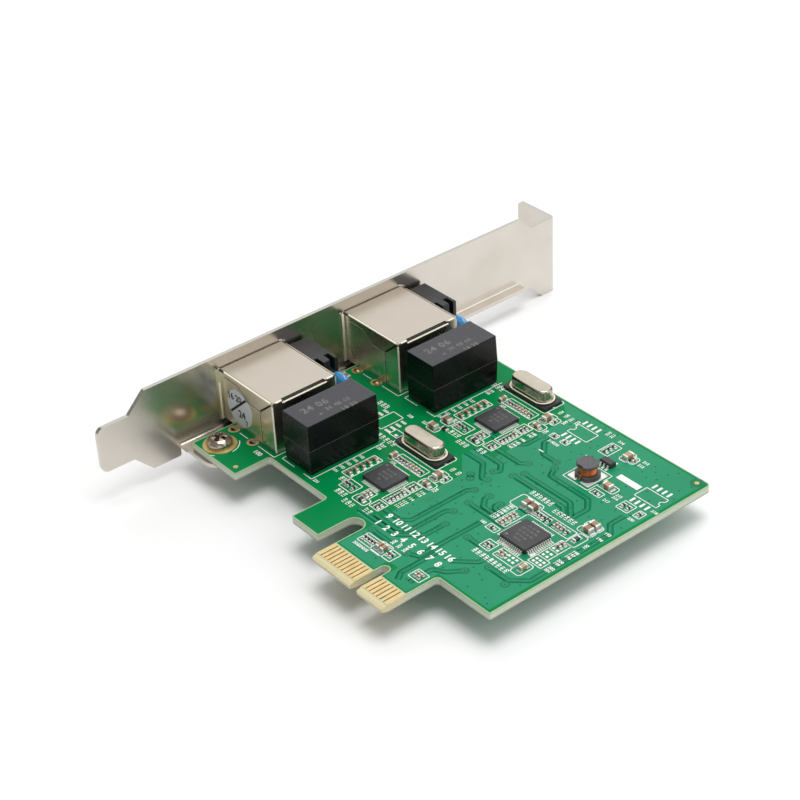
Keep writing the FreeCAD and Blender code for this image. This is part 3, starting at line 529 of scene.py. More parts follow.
traces = [
    [(-7.0, 35.0), (-7.9, 33.9), (-7.9, 20.2), (-9.5, 18.6), (-13.8, 18.6)],
    [(-4.7, 27.7), (-5.7, 26.8), (-5.7, 18.2), (-7.6, 16.4), (-13.8, 16.4)],
    [(-2.7, 24.0), (-2.7, 19.2), (-6.4, 15.3), (-17.5, 15.3)],
    [(-3.6, 35.7), (-3.6, 34.6), (-1.9, 32.7), (2.6, 32.7)],
    [(-0.3, 35.5), (-0.8, 34.6), (0.2, 33.8), (2.6, 33.8)],
    [(-4.7, 31.5), (5.7, 31.5)],
    [(1.3, 29.2), (1.3, 14.2), (-0.8, 13.2)],
    [(2.7, 17.4), (2.7, 9.0), (3.9, 7.2)],
    [(10.1, 22.2), (10.1, 21.2), (6.4, 17.6)],
    [(10.1, 17.6), (8.2, 14.9), (5.9, 13.6), (5.9, 8.2)],
    [(-14.4, 47.0), (-7.6, 47.0), (-6.4, 48.2)],
    [(-17.4, 44.2), (-9.8, 44.2), (-8.0, 42.4), (-8.9, 41.6)],
    [(-17.4, 41.9), (-12.4, 41.9), (-8.8, 38.4), (-7.8, 38.9)],
    [(-5.4, 43.4), (8.4, 43.4), (10.4, 41.6)],
    [(-4.4, 45.4), (8.2, 45.4), (11.3, 42.6), (11.3, 41.2)],
    [(-1.8, 50.8), (-0.5, 48.5), (9.7, 48.5), (11.9, 46.3), (11.9, 42.4)],
    [(-10.6, 13.0), (-4.9, 13.0)],
    [(-20.0, 49.4), (-14.2, 49.4), (-11.4, 52.2), (-11.4, 56.4)],
    [(-9.4, 59.4), (-9.4, 55.2), (-6.6, 52.4), (-3.0, 52.4)],
    [(18.0, 49.8), (18.0, 46.2), (20.2, 44.0), (20.2, 24.2), (17.4, 21.4), (12.4, 21.4)],
    [(7.2, 26.0), (6.4, 24.4), (3.2, 24.4)],
]
# which end of each trace has a looped via; three more stand alone
loopEnds = (0, 0, 0, 0, 0, 0, -1, None, 0, 0, -1, -1, -1, 0, 0, 0, 0, -1, -1, -1, -1)
loopVias = [trace[end] for trace, end in zip(traces, loopEnds) if end is not None]
loopVias += [(-11.3, 37.8), (-10.4, 36.9), (17.9, 20.3)]

roundShape = disc("roundShape", 1.0)
flatPatch("copper_pour", pourOutline, copper["pourLift"], "maskOverPour")
for index, outline in enumerate(deepPatches):
    flatPatch("pour_gap_%d" % (index + 1), outline, copper["patchLift"], "maskOverTrace")
placeCopies("via_gaps", roundShape, [(x, y, copper["gapLift"], copper["viaGap"]) for x, y in loopVias],
            "maskOverGap")
drawStrokes("trace_gaps", traces, copper["gapLift"], copper["gapWidth"], "maskOverGap",
            copper["corner"], copper["gapThickness"])
drawStrokes("traces", traces, copper["traceLift"], copper["traceWidth"], "maskOverTrace",
            copper["corner"])
placeCopies("via_pads", roundShape, [(x, y, copper["viaLift"], copper["viaPad"]) for x, y in loopVias],
            "maskOverTrace")

bus = {"lanes": 9, "x": 17.4, "pitchX": 2.1, "jog": 5.2, "top": 60.0, "knee": (40.0, 34.8), "foot": 20.5}
sideBus = {"lanes": 6, "y": 62.6, "pitchY": 1.6, "left": -40.0, "bend": -30.0, "jog": 4.0, "right": -14.2}


def makeUnderside():
    # a ground pour, straight bus traces and vias on the solder side
    z = underZ - mask["lift"]
    flatPatch("under_pour", pourOutline, z - 0.004, "maskOverPour")
    lines = []
    for lane in range(bus["lanes"]):
        x, (above, below) = bus["x"] - bus["pitchX"] * lane, bus["knee"]
        lines.append([(x, bus["top"] - 1.9 * lane), (x, above), (x - bus["jog"], below),
                      (x - bus["jog"], bus["foot"] + 1.1 * lane)])
    for lane in range(sideBus["lanes"]):
        bend = sideBus["bend"] - lane
        for up in (0, channelStep):
            y = sideBus["y"] - sideBus["pitchY"] * lane - up
            lines.append([(sideBus["left"], y), (bend, y), (bend + sideBus["jog"], y - sideBus["jog"]),
                          (sideBus["right"], y - sideBus["jog"])])
    drawStrokes("under_gaps", lines, z - 0.008, 0.85, "maskOverGap", copper["corner"],
                copper["gapThickness"])
    drawStrokes("under_traces", lines, z - 0.016, 0.45, "maskOverTrace", copper["corner"])
    pads = [(x, y, z - 0.02, (0.4, 0.4, -1)) for line in lines for x, y in (line[0], line[-1])]
    placeCopies("under_via_pads", roundShape, pads, "padGold")


makeUnderside()

scatter = {"seed": 11, "count": 190, "apartSquared": 2.2, "x": (-12.0, 20.8), "y": (7.5, 67.4), "tabTop": 14.2,
           "tab": (-11.2, 7.2), "clear": 0.4, "lift": 0.036, "radius": 0.17}


def scatteredVias():
    # small tented holes sprinkled over the pour, kept clear of parts and of each other
    dice = random.Random(scatter["seed"])
    busy = [boxOf(name) for name in ("switch_chip", "inductor_core", "regulator_body")]
    busy += [boxOf(name % port) for name in ("crystal_%d_base", "phy_%d_chip") for port in ports]
    clear, (left, right) = scatter["clear"], scatter["tab"]
    spots = list(loopVias)
    while len(spots) < scatter["count"]:
        x, y = dice.uniform(*scatter["x"]), dice.uniform(*scatter["y"])
        if y < scatter["tabTop"] and not left < x < right:
            continue
        if any(low.x - clear < x < high.x + clear and low.y - clear < y < high.y + clear for low, high in busy):
            continue
        if all((x - a) ** 2 + (y - b) ** 2 > scatter["apartSquared"] for a, b in spots):
            spots.append((x, y))
    return [(x, y, scatter["lift"], scatter["radius"]) for x, y in spots]


placeCopies("via_wells", roundShape, scatteredVias(), "viaWell")
print("copper done:", len(traces), "traces")


# silk screen: outlines and plain numbers
silk = {"line": 0.2, "lift": 0.045, "numberLift": 0.051, "corner": 0.18, "round": 0.6, "numberSize": 0.98,
        "firstNumber": 101}
extraChips = {
    "extra_capacitors": {"finish": "ceramic", "slot": "capacitor_ceramic", "spots": [(-28.1, 42.7), (-27.8, 46.1)],
                         "size": (2.0, 1.25, 1.1), "bare": 0.6, "inset": 0.2, "cap": 0.42, "grow": 0.04},
    "extra_resistor": {"finish": "resistorGlaze", "slot": "resistor_glaze", "spots": [(-26.0, 43.9)],
                       "size": (1.6, 0.8, 0.5), "bare": 0.5, "inset": 0.16, "cap": 0.34, "grow": 0.03}}
# boxes are (x0, y0, x1, y1)
channelBoxes = [(-28.8, 20.1, -26.2, 28.3), (-25.4, 30.1, -20.7, 32.6), (-20.7, 30.1, -17.2, 32.6),
                (-16.9, 25.7, -14.3, 28.3), (-16.9, 20.4, -14.3, 25.4), (-16.9, 17.3, -14.3, 19.9),
                (-20.9, 18.3, -18.4, 20.7), (-25.9, 17.1, -22.2, 20.1)]
channelRounded = [(-16.1, 30.9, -13.7, 34.7), (-13.9, 31.9, -12.4, 34.4), (-16.3, 28.5, -12.6, 30.8),
                  (-21.1, 16.3, -17.3, 18.4), (-29.9, 33.6, -16.7, 39.2)]
boardBoxes = [(6.0, 37.3, 9.1, 39.9), (9.1, 37.3, 10.8, 39.9), (10.8, 37.3, 15.9, 39.9), (2.9, 33.1, 5.5, 37.1),
              (2.9, 31.4, 5.5, 33.0), (2.9, 28.8, 5.5, 30.4), (15.5, 33.1, 18.1, 36.4), (15.5, 30.4, 18.1, 33.0),
              (15.5, 27.9, 18.9, 30.3), (6.2, 24.4, 8.8, 27.1), (9.9, 24.4, 15.3, 27.1), (-10.3, 9.2, -1.0, 12.0),
              (4.2, 9.3, 7.2, 11.9), (-0.3, 60.8, 2.3, 64.8), (14.8, 50.7, 17.7, 53.4), (18.9, 51.0, 20.5, 53.1),
              (8.1, 50.3, 10.8, 51.9), (-10.6, 57.5, -8.8, 58.9), (-7.6, 57.5, -5.8, 58.9),
              (-38.0, 34.9, -34.9, 40.6), (-32.7, 35.1, -30.3, 37.1)]
boardRounded = [(16.2, 36.3, 18.6, 40.3), (14.7, 42.4, 18.5, 44.4), (14.7, 40.6, 18.5, 42.4),
                (15.4, 23.5, 17.9, 27.4), (0.3, 37.1, 6.1, 41.0), (-6.6, 9.0, -3.3, 12.4),
                (4.1, 61.9, 6.2, 65.2), (6.2, 62.3, 7.6, 64.7), (7.6, 52.8, 11.8, 55.0)]


def rectangle(x0, y0, x1, y1):
    return [(x0, y0), (x1, y0), (x1, y1), (x0, y1), (x0, y0)]


def arcLine(x, y, radius, start, stop, steps=24):
    turns = [math.radians(start + (stop - start) * i / steps) for i in range(steps + 1)]
    return [(x + radius * math.cos(a), y + radius * math.sin(a)) for a in turns]


def bothChannels(boxes):
    return [rectangle(x0, y0 + up, x1, y1 + up) for up in (0, channelStep) for x0, y0, x1, y1 in boxes]


def cornerMarks():
    # corner brackets round the transformers and network sockets
    lines = []
    for port in ports:
        low, high = boxOf("transformer_%d_base" % port)
        lines += [[(high.x + 0.6, high.y + 0.5), (high.x + 0.6, low.y - 0.45), (high.x - 1.9, low.y - 0.45)],
                  [(low.x + 3.6, low.y - 0.45), (low.x - 0.4, low.y - 0.45), (low.x - 0.4, low.y + 0.6)]]
        low, high = boxOf("port_%d_housing" % port)
        right, front, back = high.x + 0.75, low.y - 1.4, high.y + 0.7
        lines += [[(-53.2, front), (-50.4, front)], [(-47.0, front), (right, front), (right, low.y + 4.6)],
                  [(right, high.y - 3), (right, back), (-47.4, back)]]
    return lines


def footprintLines():
    # empty eight-pad footprints, each with a half round at its pin-one end
    return [[(-3.9, 61.2), (-3.9, 64.5), (-9.3, 64.5), (-9.3, 63.5)] + arcLine(-9.3, 62.85, 0.65, 90, -90, 8)
            + [(-9.3, 61.2), (-3.9, 61.2)],
            [(14.6, 59.2), (14.6, 55.8), (20.2, 55.8), (20.2, 56.85)] + arcLine(20.2, 57.5, 0.65, -90, -270, 8)
            + [(20.2, 59.2), (14.6, 59.2)]]


def drawSilk():
    low, high = boxOf("inductor_core")
    square = bothChannels(channelBoxes) + [rectangle(*box) for box in boardBoxes]
    square += [rectangle(low.x - 0.8, low.y - 1.2, high.x + 0.9, high.y + 0.9)] + cornerMarks() + footprintLines()
    rounded = bothChannels(channelRounded) + [rectangle(*box) for box in boardRounded]
    for x, y in extraChips["extra_capacitors"]["spots"]:
        rounded.append(rectangle(x - 1.45, y - 0.95, x + 1.45, y + 0.95))
    for port in ports:
        y = middleOf("disc_capacitor_%d" % port)[1]
        rounded.append(rectangle(-48.2, y - 1.7, -41.0, y + 1.7))
    x, y = middleOf("bracket_screw")
    arcs = [arcLine(x, y, 3.9, 4, 64), arcLine(x, y, 4.1, -64, -50, 4)]
    for name, lines, corner in (("silk_outlines", square, silk["corner"]),
                                ("silk_rounded", rounded, silk["round"]), ("silk_rings", arcs, 0.0)):
        drawStrokes(name, lines, silk["lift"], silk["line"], "whiteInk", corner)


drawSilk()


def flatNumber(text, x, y, z, size, turn=0.0, spacing=1.0):
    return text, at(x, y, z) @ Matrix.Rotation(turn, 4, "Z"), size, spacing


def drawNumbers(name, numbers, finishName):
    # numbers are (text, place, size, spacing) and become one flat mesh
    bm = bmesh.new()
    for text, place, size, spacing in numbers:
        curve = bpy.data.curves.new("number", "FONT")
        curve.body = text
        curve.size = size * mm
        curve.align_x, curve.align_y = "CENTER", "CENTER"
        curve.resolution_u = 2
        curve.space_character = spacing
        curve.offset = 0.03 * size * mm
        holder = linkObject("number", curve)
        mesh = bpy.data.meshes.new_from_object(holder.evaluated_get(bpy.context.evaluated_depsgraph_get()))
        mesh.transform(place)
        bm.from_mesh(mesh)
        bpy.data.objects.remove(holder, do_unlink=True)
        bpy.data.curves.remove(curve)
        bpy.data.meshes.remove(mesh)
    finishPiece(bmeshObject(name, bm, finishName))


# x, y, then how many, step in x, step in y and turn, or one upright number
channelNumbers = [(-30.1, 19.6, 5, 0, 1.62, 0), (-27.2, 18.9, 2, 1.0, 0, quarter),
                  (-24.6, 15.9, 3, 1.0, 0, quarter), (-13.0, 21.0, 3, 0, 0.95, 0), (-13.0, 24.3),
                  (-13.0, 26.2, 2, 0, 1.0, 0), (-16.1, 15.9, 2, 1.1, 0, quarter),
                  (-21.2, 14.9, 3, 1.1, 0, quarter), (-14.7, 36.2, 1, 0, 0, quarter),
                  (-13.0, 36.2, 1, 0, 0, quarter), (-11.9, 29.4, 1, 0, 0, quarter), (-24.4, 29.3),
                  (-30.2, 30.4, 2, 0, 1.0, 0), (-33.6, 33.3, 5, 1.15, 0, quarter)]
boardNumbers = [(1.2, 42.4, 6, 1.0, 0, quarter), (8.3, 41.5, 6, 1.0, 0, quarter), (1.6, 31.9, 6, 0, 0.93, 0),
                (1.6, 29.6), (6.9, 22.9, 9, 1.05, 0, quarter), (20.0, 43.6), (20.0, 41.5),
                (19.9, 38.2, 1, 0, 0, quarter), (19.9, 33.7, 3, 0, 0.95, 0), (19.9, 30.9, 2, 0, 0.95, 0),
                (20.2, 28.4, 2, 0, 0.95, 0), (-9.4, 8.3, 3, 1.3, 0, 0), (-4.9, 13.6, 3, 1.6, 0, quarter),
                (-11.6, 62.8, 1, 0, 0, quarter), (-3.0, 66.4, 2, 1.2, 0, quarter), (9.0, 64.6), (9.0, 63.2),
                (0.9, 66.0), (13.0, 53.4, 2, 0, -1.0, 0), (12.4, 50.6), (21.0, 54.6), (-8.8, 56.4, 2, 1.4, 0, 0),
                (-11.5, 64.5, 2, 1.7, 0, quarter), (-30.6, 42.6), (-30.4, 46.2), (-42.4, 40.7, 3, 1.1, 0, quarter),
                (-34.4, 42.0), (-0.2, 57.9), (19.6, 49.9), (-29.8, 14.7), (-51.0, 40.0), (9.4, 27.9)]
largeNumbers = [("1", -7.9, 52.9, 1.7, -quarter), ("100", -45.1, 12.0, 1.5, 0), ("200", -44.9, 40.3, 1.5, 0)]
grid = {"x": -11.6, "y": 15.2, "columns": 8, "rows": 2, "pitchX": 2.45, "pitchY": 2.7, "size": 2.1}


def makeNumbers():
    numbers, lift = [], silk["numberLift"]
    rows = [(row, up) for up in (0, channelStep) for row in channelNumbers] + [(row, 0) for row in boardNumbers]
    for row, up in rows:
        x, y, many, stepX, stepY, turn = row + (1, 0, 0, 0)[len(row) - 2:]
        for index in range(many):
            text, left, front = str(silk["firstNumber"] + len(numbers)), x + stepX * index, y + stepY * index
            numbers.append(flatNumber(text, left, front + up, lift, silk["numberSize"], turn))
    numbers += [flatNumber(text, x, y, lift, size, turn) for text, x, y, size, turn in largeNumbers]
    drawNumbers("silk_numbers", numbers, "whiteInk")
    cells = [(i, *divmod(i, grid["columns"])) for i in range(grid["rows"] * grid["columns"])]
    drawNumbers("silk_date_grid", [flatNumber(str(i + 1), grid["x"] + column * grid["pitchX"],
                                              grid["y"] + row * grid["pitchY"], lift, grid["size"])
                                   for i, row, column in cells], "whiteInk")


fingers = {"width": 0.36, "lift": 0.008, "inset": 0.05, "widest": 1.3}


def makeFingerGaps():
    # bare board between the contacts, not across the key notch
    low, high = boxOf("edge_contacts")
    middles = sorted((a.x + b.x) / 2 for a, b in islandBoxes("edge_contacts") if a.z > -0.5)
    lines = [[((a + b) / 2, low.y + fingers["inset"]), ((a + b) / 2, high.y - fingers["inset"])]
             for a, b in zip(middles, middles[1:]) if b - a < fingers["widest"]]
    drawStrokes("finger_gaps", lines, fingers["lift"], fingers["width"], "fingerGap", 0.0, 0.008)


makeNumbers()
makeFingerGaps()
flatPatch("silk_label_strip", rectangle(8.3, 57.2, 13.9, 58.7)[:4], silk["lift"], "whiteInk")
flatPatch("silk_pin_mark", [(14.4, 29.6), (15.3, 28.8), (15.3, 30.4)], silk["lift"], "whiteInk")
print("silk screen done")


# pads, solder and the small chips
small = {"bodyLift": 0.03, "endLift": 0.02}
pads = {"grow": 0.16, "reach": 0.28, "height": 0.03, "lift": 0.02, "tuck": 0.1, "tall": 0.7}
padShape = softBox("padShape", (1, 1, 1), 0.06, 1)
chipShape = softBox("chipShape", (1, 1, 1), 0.07)


def slim(middle, size):
    # the five chips beside each network chip are narrow ones
    if -28.8 < middle.x < -26.2 and any(20.1 < middle.y - up < 28.3 for up in (0, channelStep)):
        return size.x, size.y * 0.72, size.z * 0.75
    return tuple(size)


def makeSmallChips():
    for name, finishName, slotName in (("chip_capacitors", "ceramic", "capacitor_ceramic"),
                                       ("chip_resistors", "resistorGlaze", "resistor_glaze")):
        spots = [(middle.x, middle.y, small["bodyLift"], slim(middle, size)) for middle, size in islandSpots(name)]
        placeCopies(name + "_rounded", chipShape, spots, finishName, 0.0, (name,))
    ends = [(middle.x, middle.y, small["endLift"], slim(middle, size))
            for name in ("capacitor_ends", "resistor_ends") for middle, size in islandSpots(name)]
    placeCopies("chip_ends_rounded", chipShape, ends, "tin", 0.0, ("capacitor_ends", "resistor_ends"))
    return ends


def makeExtraChips():
    # two large capacitors and a resistor between the second transformer and its network chip
    ends = []
    for name, look in extraChips.items():
        length, width, height = look["size"]
        bodies = [(x, y, small["bodyLift"], (length - look["bare"], width, height)) for x, y in look["spots"]]
        placeCopies(name, chipShape, bodies, look["finish"])
        cap = (look["cap"], width + look["grow"], height + look["grow"])
        ends += [(x + side * (length / 2 - look["inset"]), y, small["endLift"], cap)
                 for x, y in look["spots"] for side in (-1, 1)]
    placeCopies("extra_chip_ends", chipShape, ends, "tin")


def filletShape():
    # concave wedge of solder; its tall side faces -X
    bm = bmesh.new()
    profile = [(0.0, 1.0), (0.12, 0.55), (0.38, 0.22), (1.0, 0.0)]
    rows = [[vertexAt(bm, x, side * (1.0 if z < 0.9 else 0.9), z) for x, z in profile] for side in (-0.5, 0.5)]
    for row in rows:
        row.append(vertexAt(bm, 0, row[0].co.y / mm, 0))
    for i in range(len(profile) - 1):
        bm.faces.new((rows[0][i], rows[0][i + 1], rows[1][i + 1], rows[1][i]))
    bm.faces.new(rows[0][::-1])
    bm.faces.new(rows[1])
    bmesh.ops.recalc_face_normals(bm, faces=bm.faces[:])
    return template("filletShape", bm)


# bare pads as (x, y, how many in x, pitch in x, how many in y, pitch in y, length in x, length in y)
barePads = [(12.3, 25.4, 3, 1.0, 1, 0, 0.6, 0.55), (12.3, 26.4, 3, 1.0, 1, 0, 0.6, 0.55),
            (16.2, 33.7, 2, 1.0, 1, 0, 0.6, 0.55), (16.2, 32.1, 2, 1.0, 1, 0, 0.6, 0.55),
            (16.2, 31.1, 2, 1.0, 1, 0, 0.6, 0.55), (16.3, 29.5, 3, 0.9, 1, 0, 0.6, 0.55),
            (16.3, 28.6, 3, 0.9, 1, 0, 0.6, 0.55), (-8.83, 59.95, 4, 1.27, 1, 0, 0.5, 1.5),
            (-8.83, 65.7, 4, 1.27, 1, 0, 0.5, 1.5), (15.4, 54.55, 4, 1.27, 1, 0, 0.5, 1.5),
            (15.4, 60.45, 4, 1.27, 1, 0, 0.5, 1.5), (-33.6, 35.45, 1, 0, 4, 1.38, 1.5, 0.62),
            (-39.2, 35.45, 1, 0, 4, 1.38, 1.5, 0.62), (-31.2, 35.7, 1, 0, 1, 0, 0.8, 0.6)]


def makePads(chipBodies, chipEnds):
    spots, wedges = [], []

    def addPad(x, y, sizeX, sizeY):
        spots.append((x, y, pads["lift"], (sizeX, sizeY, pads["height"])))

    for body, size in chipBodies:
        # a body's two nearest ends are its own
        near = sorted(chipEnds, key=lambda e: (e[0] - body.x) ** 2 + (e[1] - body.y) ** 2)[:2]
        for x, y, _, (sizeX, sizeY, height) in near:
            out = Vector((x - body.x, y - body.y, 0)).normalized()
            out = Vector((round(out.x), round(out.y), 0))
            reach = pads["reach"] * (1.0 if height < pads["tall"] else 1.3)
            wide, deep = (sizeY, sizeX) if out.x else (sizeX, sizeY)
            length = deep + reach + pads["tuck"]
            shift = (reach + pads["tuck"]) / 2 - 0.05
            across = wide + pads["grow"]
            addPad(x + out.x * shift, y + out.y * shift, *((length, across) if out.x else (across, length)))
            wedges.append((x + out.x * deep / 2, y + out.y * deep / 2, pads["lift"] + pads["height"],
                           (reach * 0.9, wide, height * 0.55), math.atan2(out.y, out.x)))
    for x, y, countX, pitchX, countY, pitchY, sizeX, sizeY in barePads:
        for i in range(countX):
            for j in range(countY):
                addPad(x + pitchX * i, y + pitchY * j, sizeX, sizeY)
    for middle, size in islandSpots("switch_leads") + islandSpots("regulator_leads"):
        growX, growY = (0.5, 0.08) if size.x > size.y else (0.08, 0.5)
        addPad(middle.x, middle.y, size.x + growX, size.y + growY)
    for port in ports:
        chipX, chipY = middleOf("phy_%d_chip" % port)
        for middle, size in islandSpots("phy_%d_pads" % port):
            if max(size.x, size.y) > 1.5:
                continue
            outX, outY = middle.x - chipX, middle.y - chipY
            if abs(outX) > abs(outY):
                addPad(middle.x + math.copysign(0.2, outX), middle.y, 0.75, 0.26)
            else:
                addPad(middle.x, middle.y + math.copysign(0.2, outY), 0.26, 0.75)
    x, y = middleOf("inductor_core")
    for side in (-1, 1):
        addPad(x + side * 1.7, y, 2.3, 5.6)
    placeCopies("solder_pads", padShape, spots, "tin", 0.02)
    placeCopies("solder_fillets", filletShape(), wedges, "solder", 0.06)


chipEnds = makeSmallChips()
makeExtraChips()
chipBodies = islandSpots("chip_capacitors") + islandSpots("chip_resistors")
makePads(chipBodies, chipEnds)
print("small chips done:", len(chipBodies), "chips")


# turned, bevelled and wired pieces in place of plain CAD ones
def turnedMesh(profile, sides=48):
    # (radius, height) points in millimetres turned about Z
    bm = bmesh.new()
    bridgeRings(bm, [[vertexAt(bm, r * math.cos(a), r * math.sin(a), h) for a in (angles(sides) if r else [0])]
                     for r, h in profile])
    bmesh.ops.recalc_face_normals(bm, faces=bm.faces[:])
    return bm


def joinInto(target, bm, move):
    # adds one mesh to another at a new place
    part = bpy.data.meshes.new("part")
    bm.to_mesh(part)
    bm.free()
    part.transform(move)
    target.from_mesh(part)
    bpy.data.meshes.remove(part)


def bevelledCopy(source, width, finishName):
    # copy of a CAD piece with its sharp edges softened
    bm = weldedMesh(source, 2e-6)
    bmesh.ops.dissolve_limit(bm, angle_limit=math.radians(2), verts=bm.verts[:], edges=bm.edges[:])
    sharp = [e for e in bm.edges if len(e.link_faces) == 2 and e.calc_face_angle() > math.radians(32)]
    bmesh.ops.bevel(bm, geom=sharp, offset=width * mm, segments=2, profile=0.6, affect="EDGES", clamp_overlap=True)
    finishPiece(bmeshObject(source + "_soft", bm, finishName), (source,))


screw = {"radius": 2.62, "height": 1.95, "rim": 0.6, "rings": 44, "sides": 132, "armWidth": 0.36, "armFlare": 0.16,
         "armReach": 1.55, "shallow": 0.45, "depth": 1.15, "shank": 1.4, "tip": 1.1}


def screwHeight(radius, angle):
    # height of the head and how far its cross recess cuts in, 0 to 1
    u, v = abs(radius * math.cos(angle)), abs(radius * math.sin(angle))
    curve = max(0.0, 1 - (radius / screw["radius"]) ** 3.0) ** 0.55
    lift = screw["rim"] + (screw["height"] - screw["rim"]) * curve
    along, across = max(u, v), min(u, v)
    wall = (screw["armWidth"] + screw["armFlare"] * along - across) / 0.12
    tip = (screw["armReach"] - along) / 0.25
    sink = max(0.0, min(1.0, wall)) * max(0.0, min(1.0, tip))
    slope = (screw["depth"] - screw["shallow"]) * max(0.0, 1 - along / screw["armReach"])
    return lift - sink * (screw["shallow"] + slope), sink


def makeScrew():
    # pan head with a flared cross recess, drawn as a height field over rings; the deep part of the recess takes a
    # painted shade
    bottom = boxOf("bracket_screw")[0].z
    bm = bmesh.new()
    rows, deep = [], set()
    for ring in range(screw["rings"] + 1):
        radius, row = screw["radius"] * (ring / screw["rings"]) ** 0.8, []
        for a in angles(screw["sides"]):
            height, sink = screwHeight(radius, a + 0.3)
            row.append(vertexAt(bm, radius * math.cos(a + 0.8), radius * math.sin(a + 0.8), height))
            if sink > 0.5:
                deep.add(row[-1])
        rows.append(row)
    rows.append([bm.verts.new((v.co.x, v.co.y, 0.0)) for v in rows[-1]])
    for inner, outer in zip(rows, rows[1:]):
        for i in range(screw["sides"]):
            j = (i + 1) % screw["sides"]
            face = bm.faces.new((inner[i], outer[i], outer[j], inner[j]))
            # faces deep in the recess take the second finish, a painted shade
            face.material_index = int(sum(v in deep for v in face.verts) > 2)
    bmesh.ops.remove_doubles(bm, verts=bm.verts[:], dist=1e-7)
    shank = [(0, bottom), (screw["tip"], bottom), (screw["shank"], bottom + 0.3), (screw["shank"], 0), (0, 0)]
    joinInto(bm, turnedMesh(shank, 32), Matrix())
    piece = bmeshObject("bracket_screw_fine", bm, "screwNickel", True)
    piece.data.materials.append(finishes["paintedRecessShade"])
    piece.data.transform(at(*middleOf("bracket_screw"), 0))
    finishPiece(piece, ("bracket_screw",))


discs = {"wireX": 1.6, "wire": 0.25, "shape": (0, 0.3, 0.5, 0.66, 0.78, 0.88, 0.95, 0.985, 1)}


def makeDiscs():
    # lens-shaped blue bodies whose coating runs a little way down the wires
    wires = []
    for port in ports:
        name = "disc_capacitor_%d" % port
        low, high = boxOf(name)
        x, y = middleOf(name)
        radius, half = (high.x - low.x) / 2, (high.y - low.y) / 2
        z = high.z - radius
        outline = [(radius * f, half * (1 - f ** 3.2) ** 0.6) for f in discs["shape"]]
        bm = bmesh.new()
        joinInto(bm, turnedMesh(outline + [(r, -h) for r, h in reversed(outline[:-1])], 56),
                 at(x, y, z) @ Matrix.Rotation(quarter, 4, "X"))
        drip = [(0, 0.7), (0.34, 0.75), (0.42, 1.3), (0.75, z - radius + 1.1), (0, z - radius + 1.4)]
        for wireX in (x - discs["wireX"], x + discs["wireX"]):
            joinInto(bm, turnedMesh(drip, 18), at(wireX, y, 0))
            wires.append([(wireX, y, 0.0), (wireX, y, 1.0)])
        finishPiece(bmeshObject(name + "_dipped", bm, "discBlue", True), (name,))
    drawWires("disc_wires", wires, discs["wire"], "tin")


crystal = {"wall": 0.45, "crown": 0.5, "rim": 0.35, "arc": 22, "rimArc": 16}


def oblong(straight, radius, arc, z):
    # points of a rounded oblong about the origin
    turns = [(side, first + math.pi * i / arc) for side, first in ((1, -quarter), (-1, quarter))
             for i in range(arc + 1)]
    return [(side * straight + radius * math.cos(a), radius * math.sin(a), z) for side, a in turns]


def makeCrystals():
    # drawn cans with a rolled rim on a moulded seat
    for port in ports:
        name = "crystal_%d_can" % port
        low, high = boxOf(name)
        x, y = middleOf(name)
        radius = (high.y - low.y) / 2
        straight = (high.x - low.x) / 2 - radius
        wall, crown, rim = radius - crystal["wall"], crystal["crown"], low.z + crystal["rim"]
        rows = [(radius - 0.06, low.z), (radius, low.z + 0.06), (radius, rim - 0.08), (radius - 0.07, rim),
                (wall + 0.12, rim + 0.02), (wall, rim + 0.16)]
        rows += [(wall - crown + crown * math.cos(a), high.z - crown + crown * math.sin(a))
                 for a in (0, 0.3, 0.6, 0.9, 1.2, 1.45, quarter)]
        bm = bmesh.new()
        rings = [[vertexAt(bm, *point) for point in oblong(straight, r, crystal["arc"], z)] for r, z in rows]
        bridgeRings(bm, rings)
        bm.faces.new(rings[-1])
        bm.faces.new(rings[0][::-1])
        can = bmeshObject(name + "_drawn", bm, "canNickel", True)
        can.data.set_sharp_from_angle(angle=math.radians(40))
        can.data.transform(at(x, y, 0))
        finishPiece(can, (name,))
        # a painted highlight wire along the rolled rim
        loop = [(x + px, y + py, z) for px, py, z in oblong(straight, radius - 0.05, crystal["rimArc"], rim)]
        drawWires("crystal_%d_rim" % port, [loop + loop[:1]], 0.12, "paintedHighlight", 8)
        bevelledCopy("crystal_%d_base" % port, 0.08, "crystalSeat")


def makeLenses():
    for port in ports:
        name = "light_%d_lenses" % port
        bm = bmesh.new()
        for low, high in islandBoxes(name):
            radius, length = (high.y - low.y) / 2, high.x - low.x
            turns = [quarter * i / 8 for i in range(9)]
            dome = [(radius * math.sin(a), radius * 0.6 * (1 - math.cos(a))) for a in turns]
            joinInto(bm, turnedMesh(dome + [(radius, length), (0, length)], 32),
                     at(low.x, (low.y + high.y) / 2, (low.z + high.z) / 2) @ Matrix.Rotation(quarter, 4, "Y"))
        lens = bmeshObject(name + "_domed", bm, "lens", True)
        lens.data.set_sharp_from_angle(angle=math.radians(40))
        finishPiece(lens, (name,))


coil = {"wire": 0.15, "clear": 0.12, "turns": 5.5, "steps": 30, "inner": 0.86, "reach": 2.25}


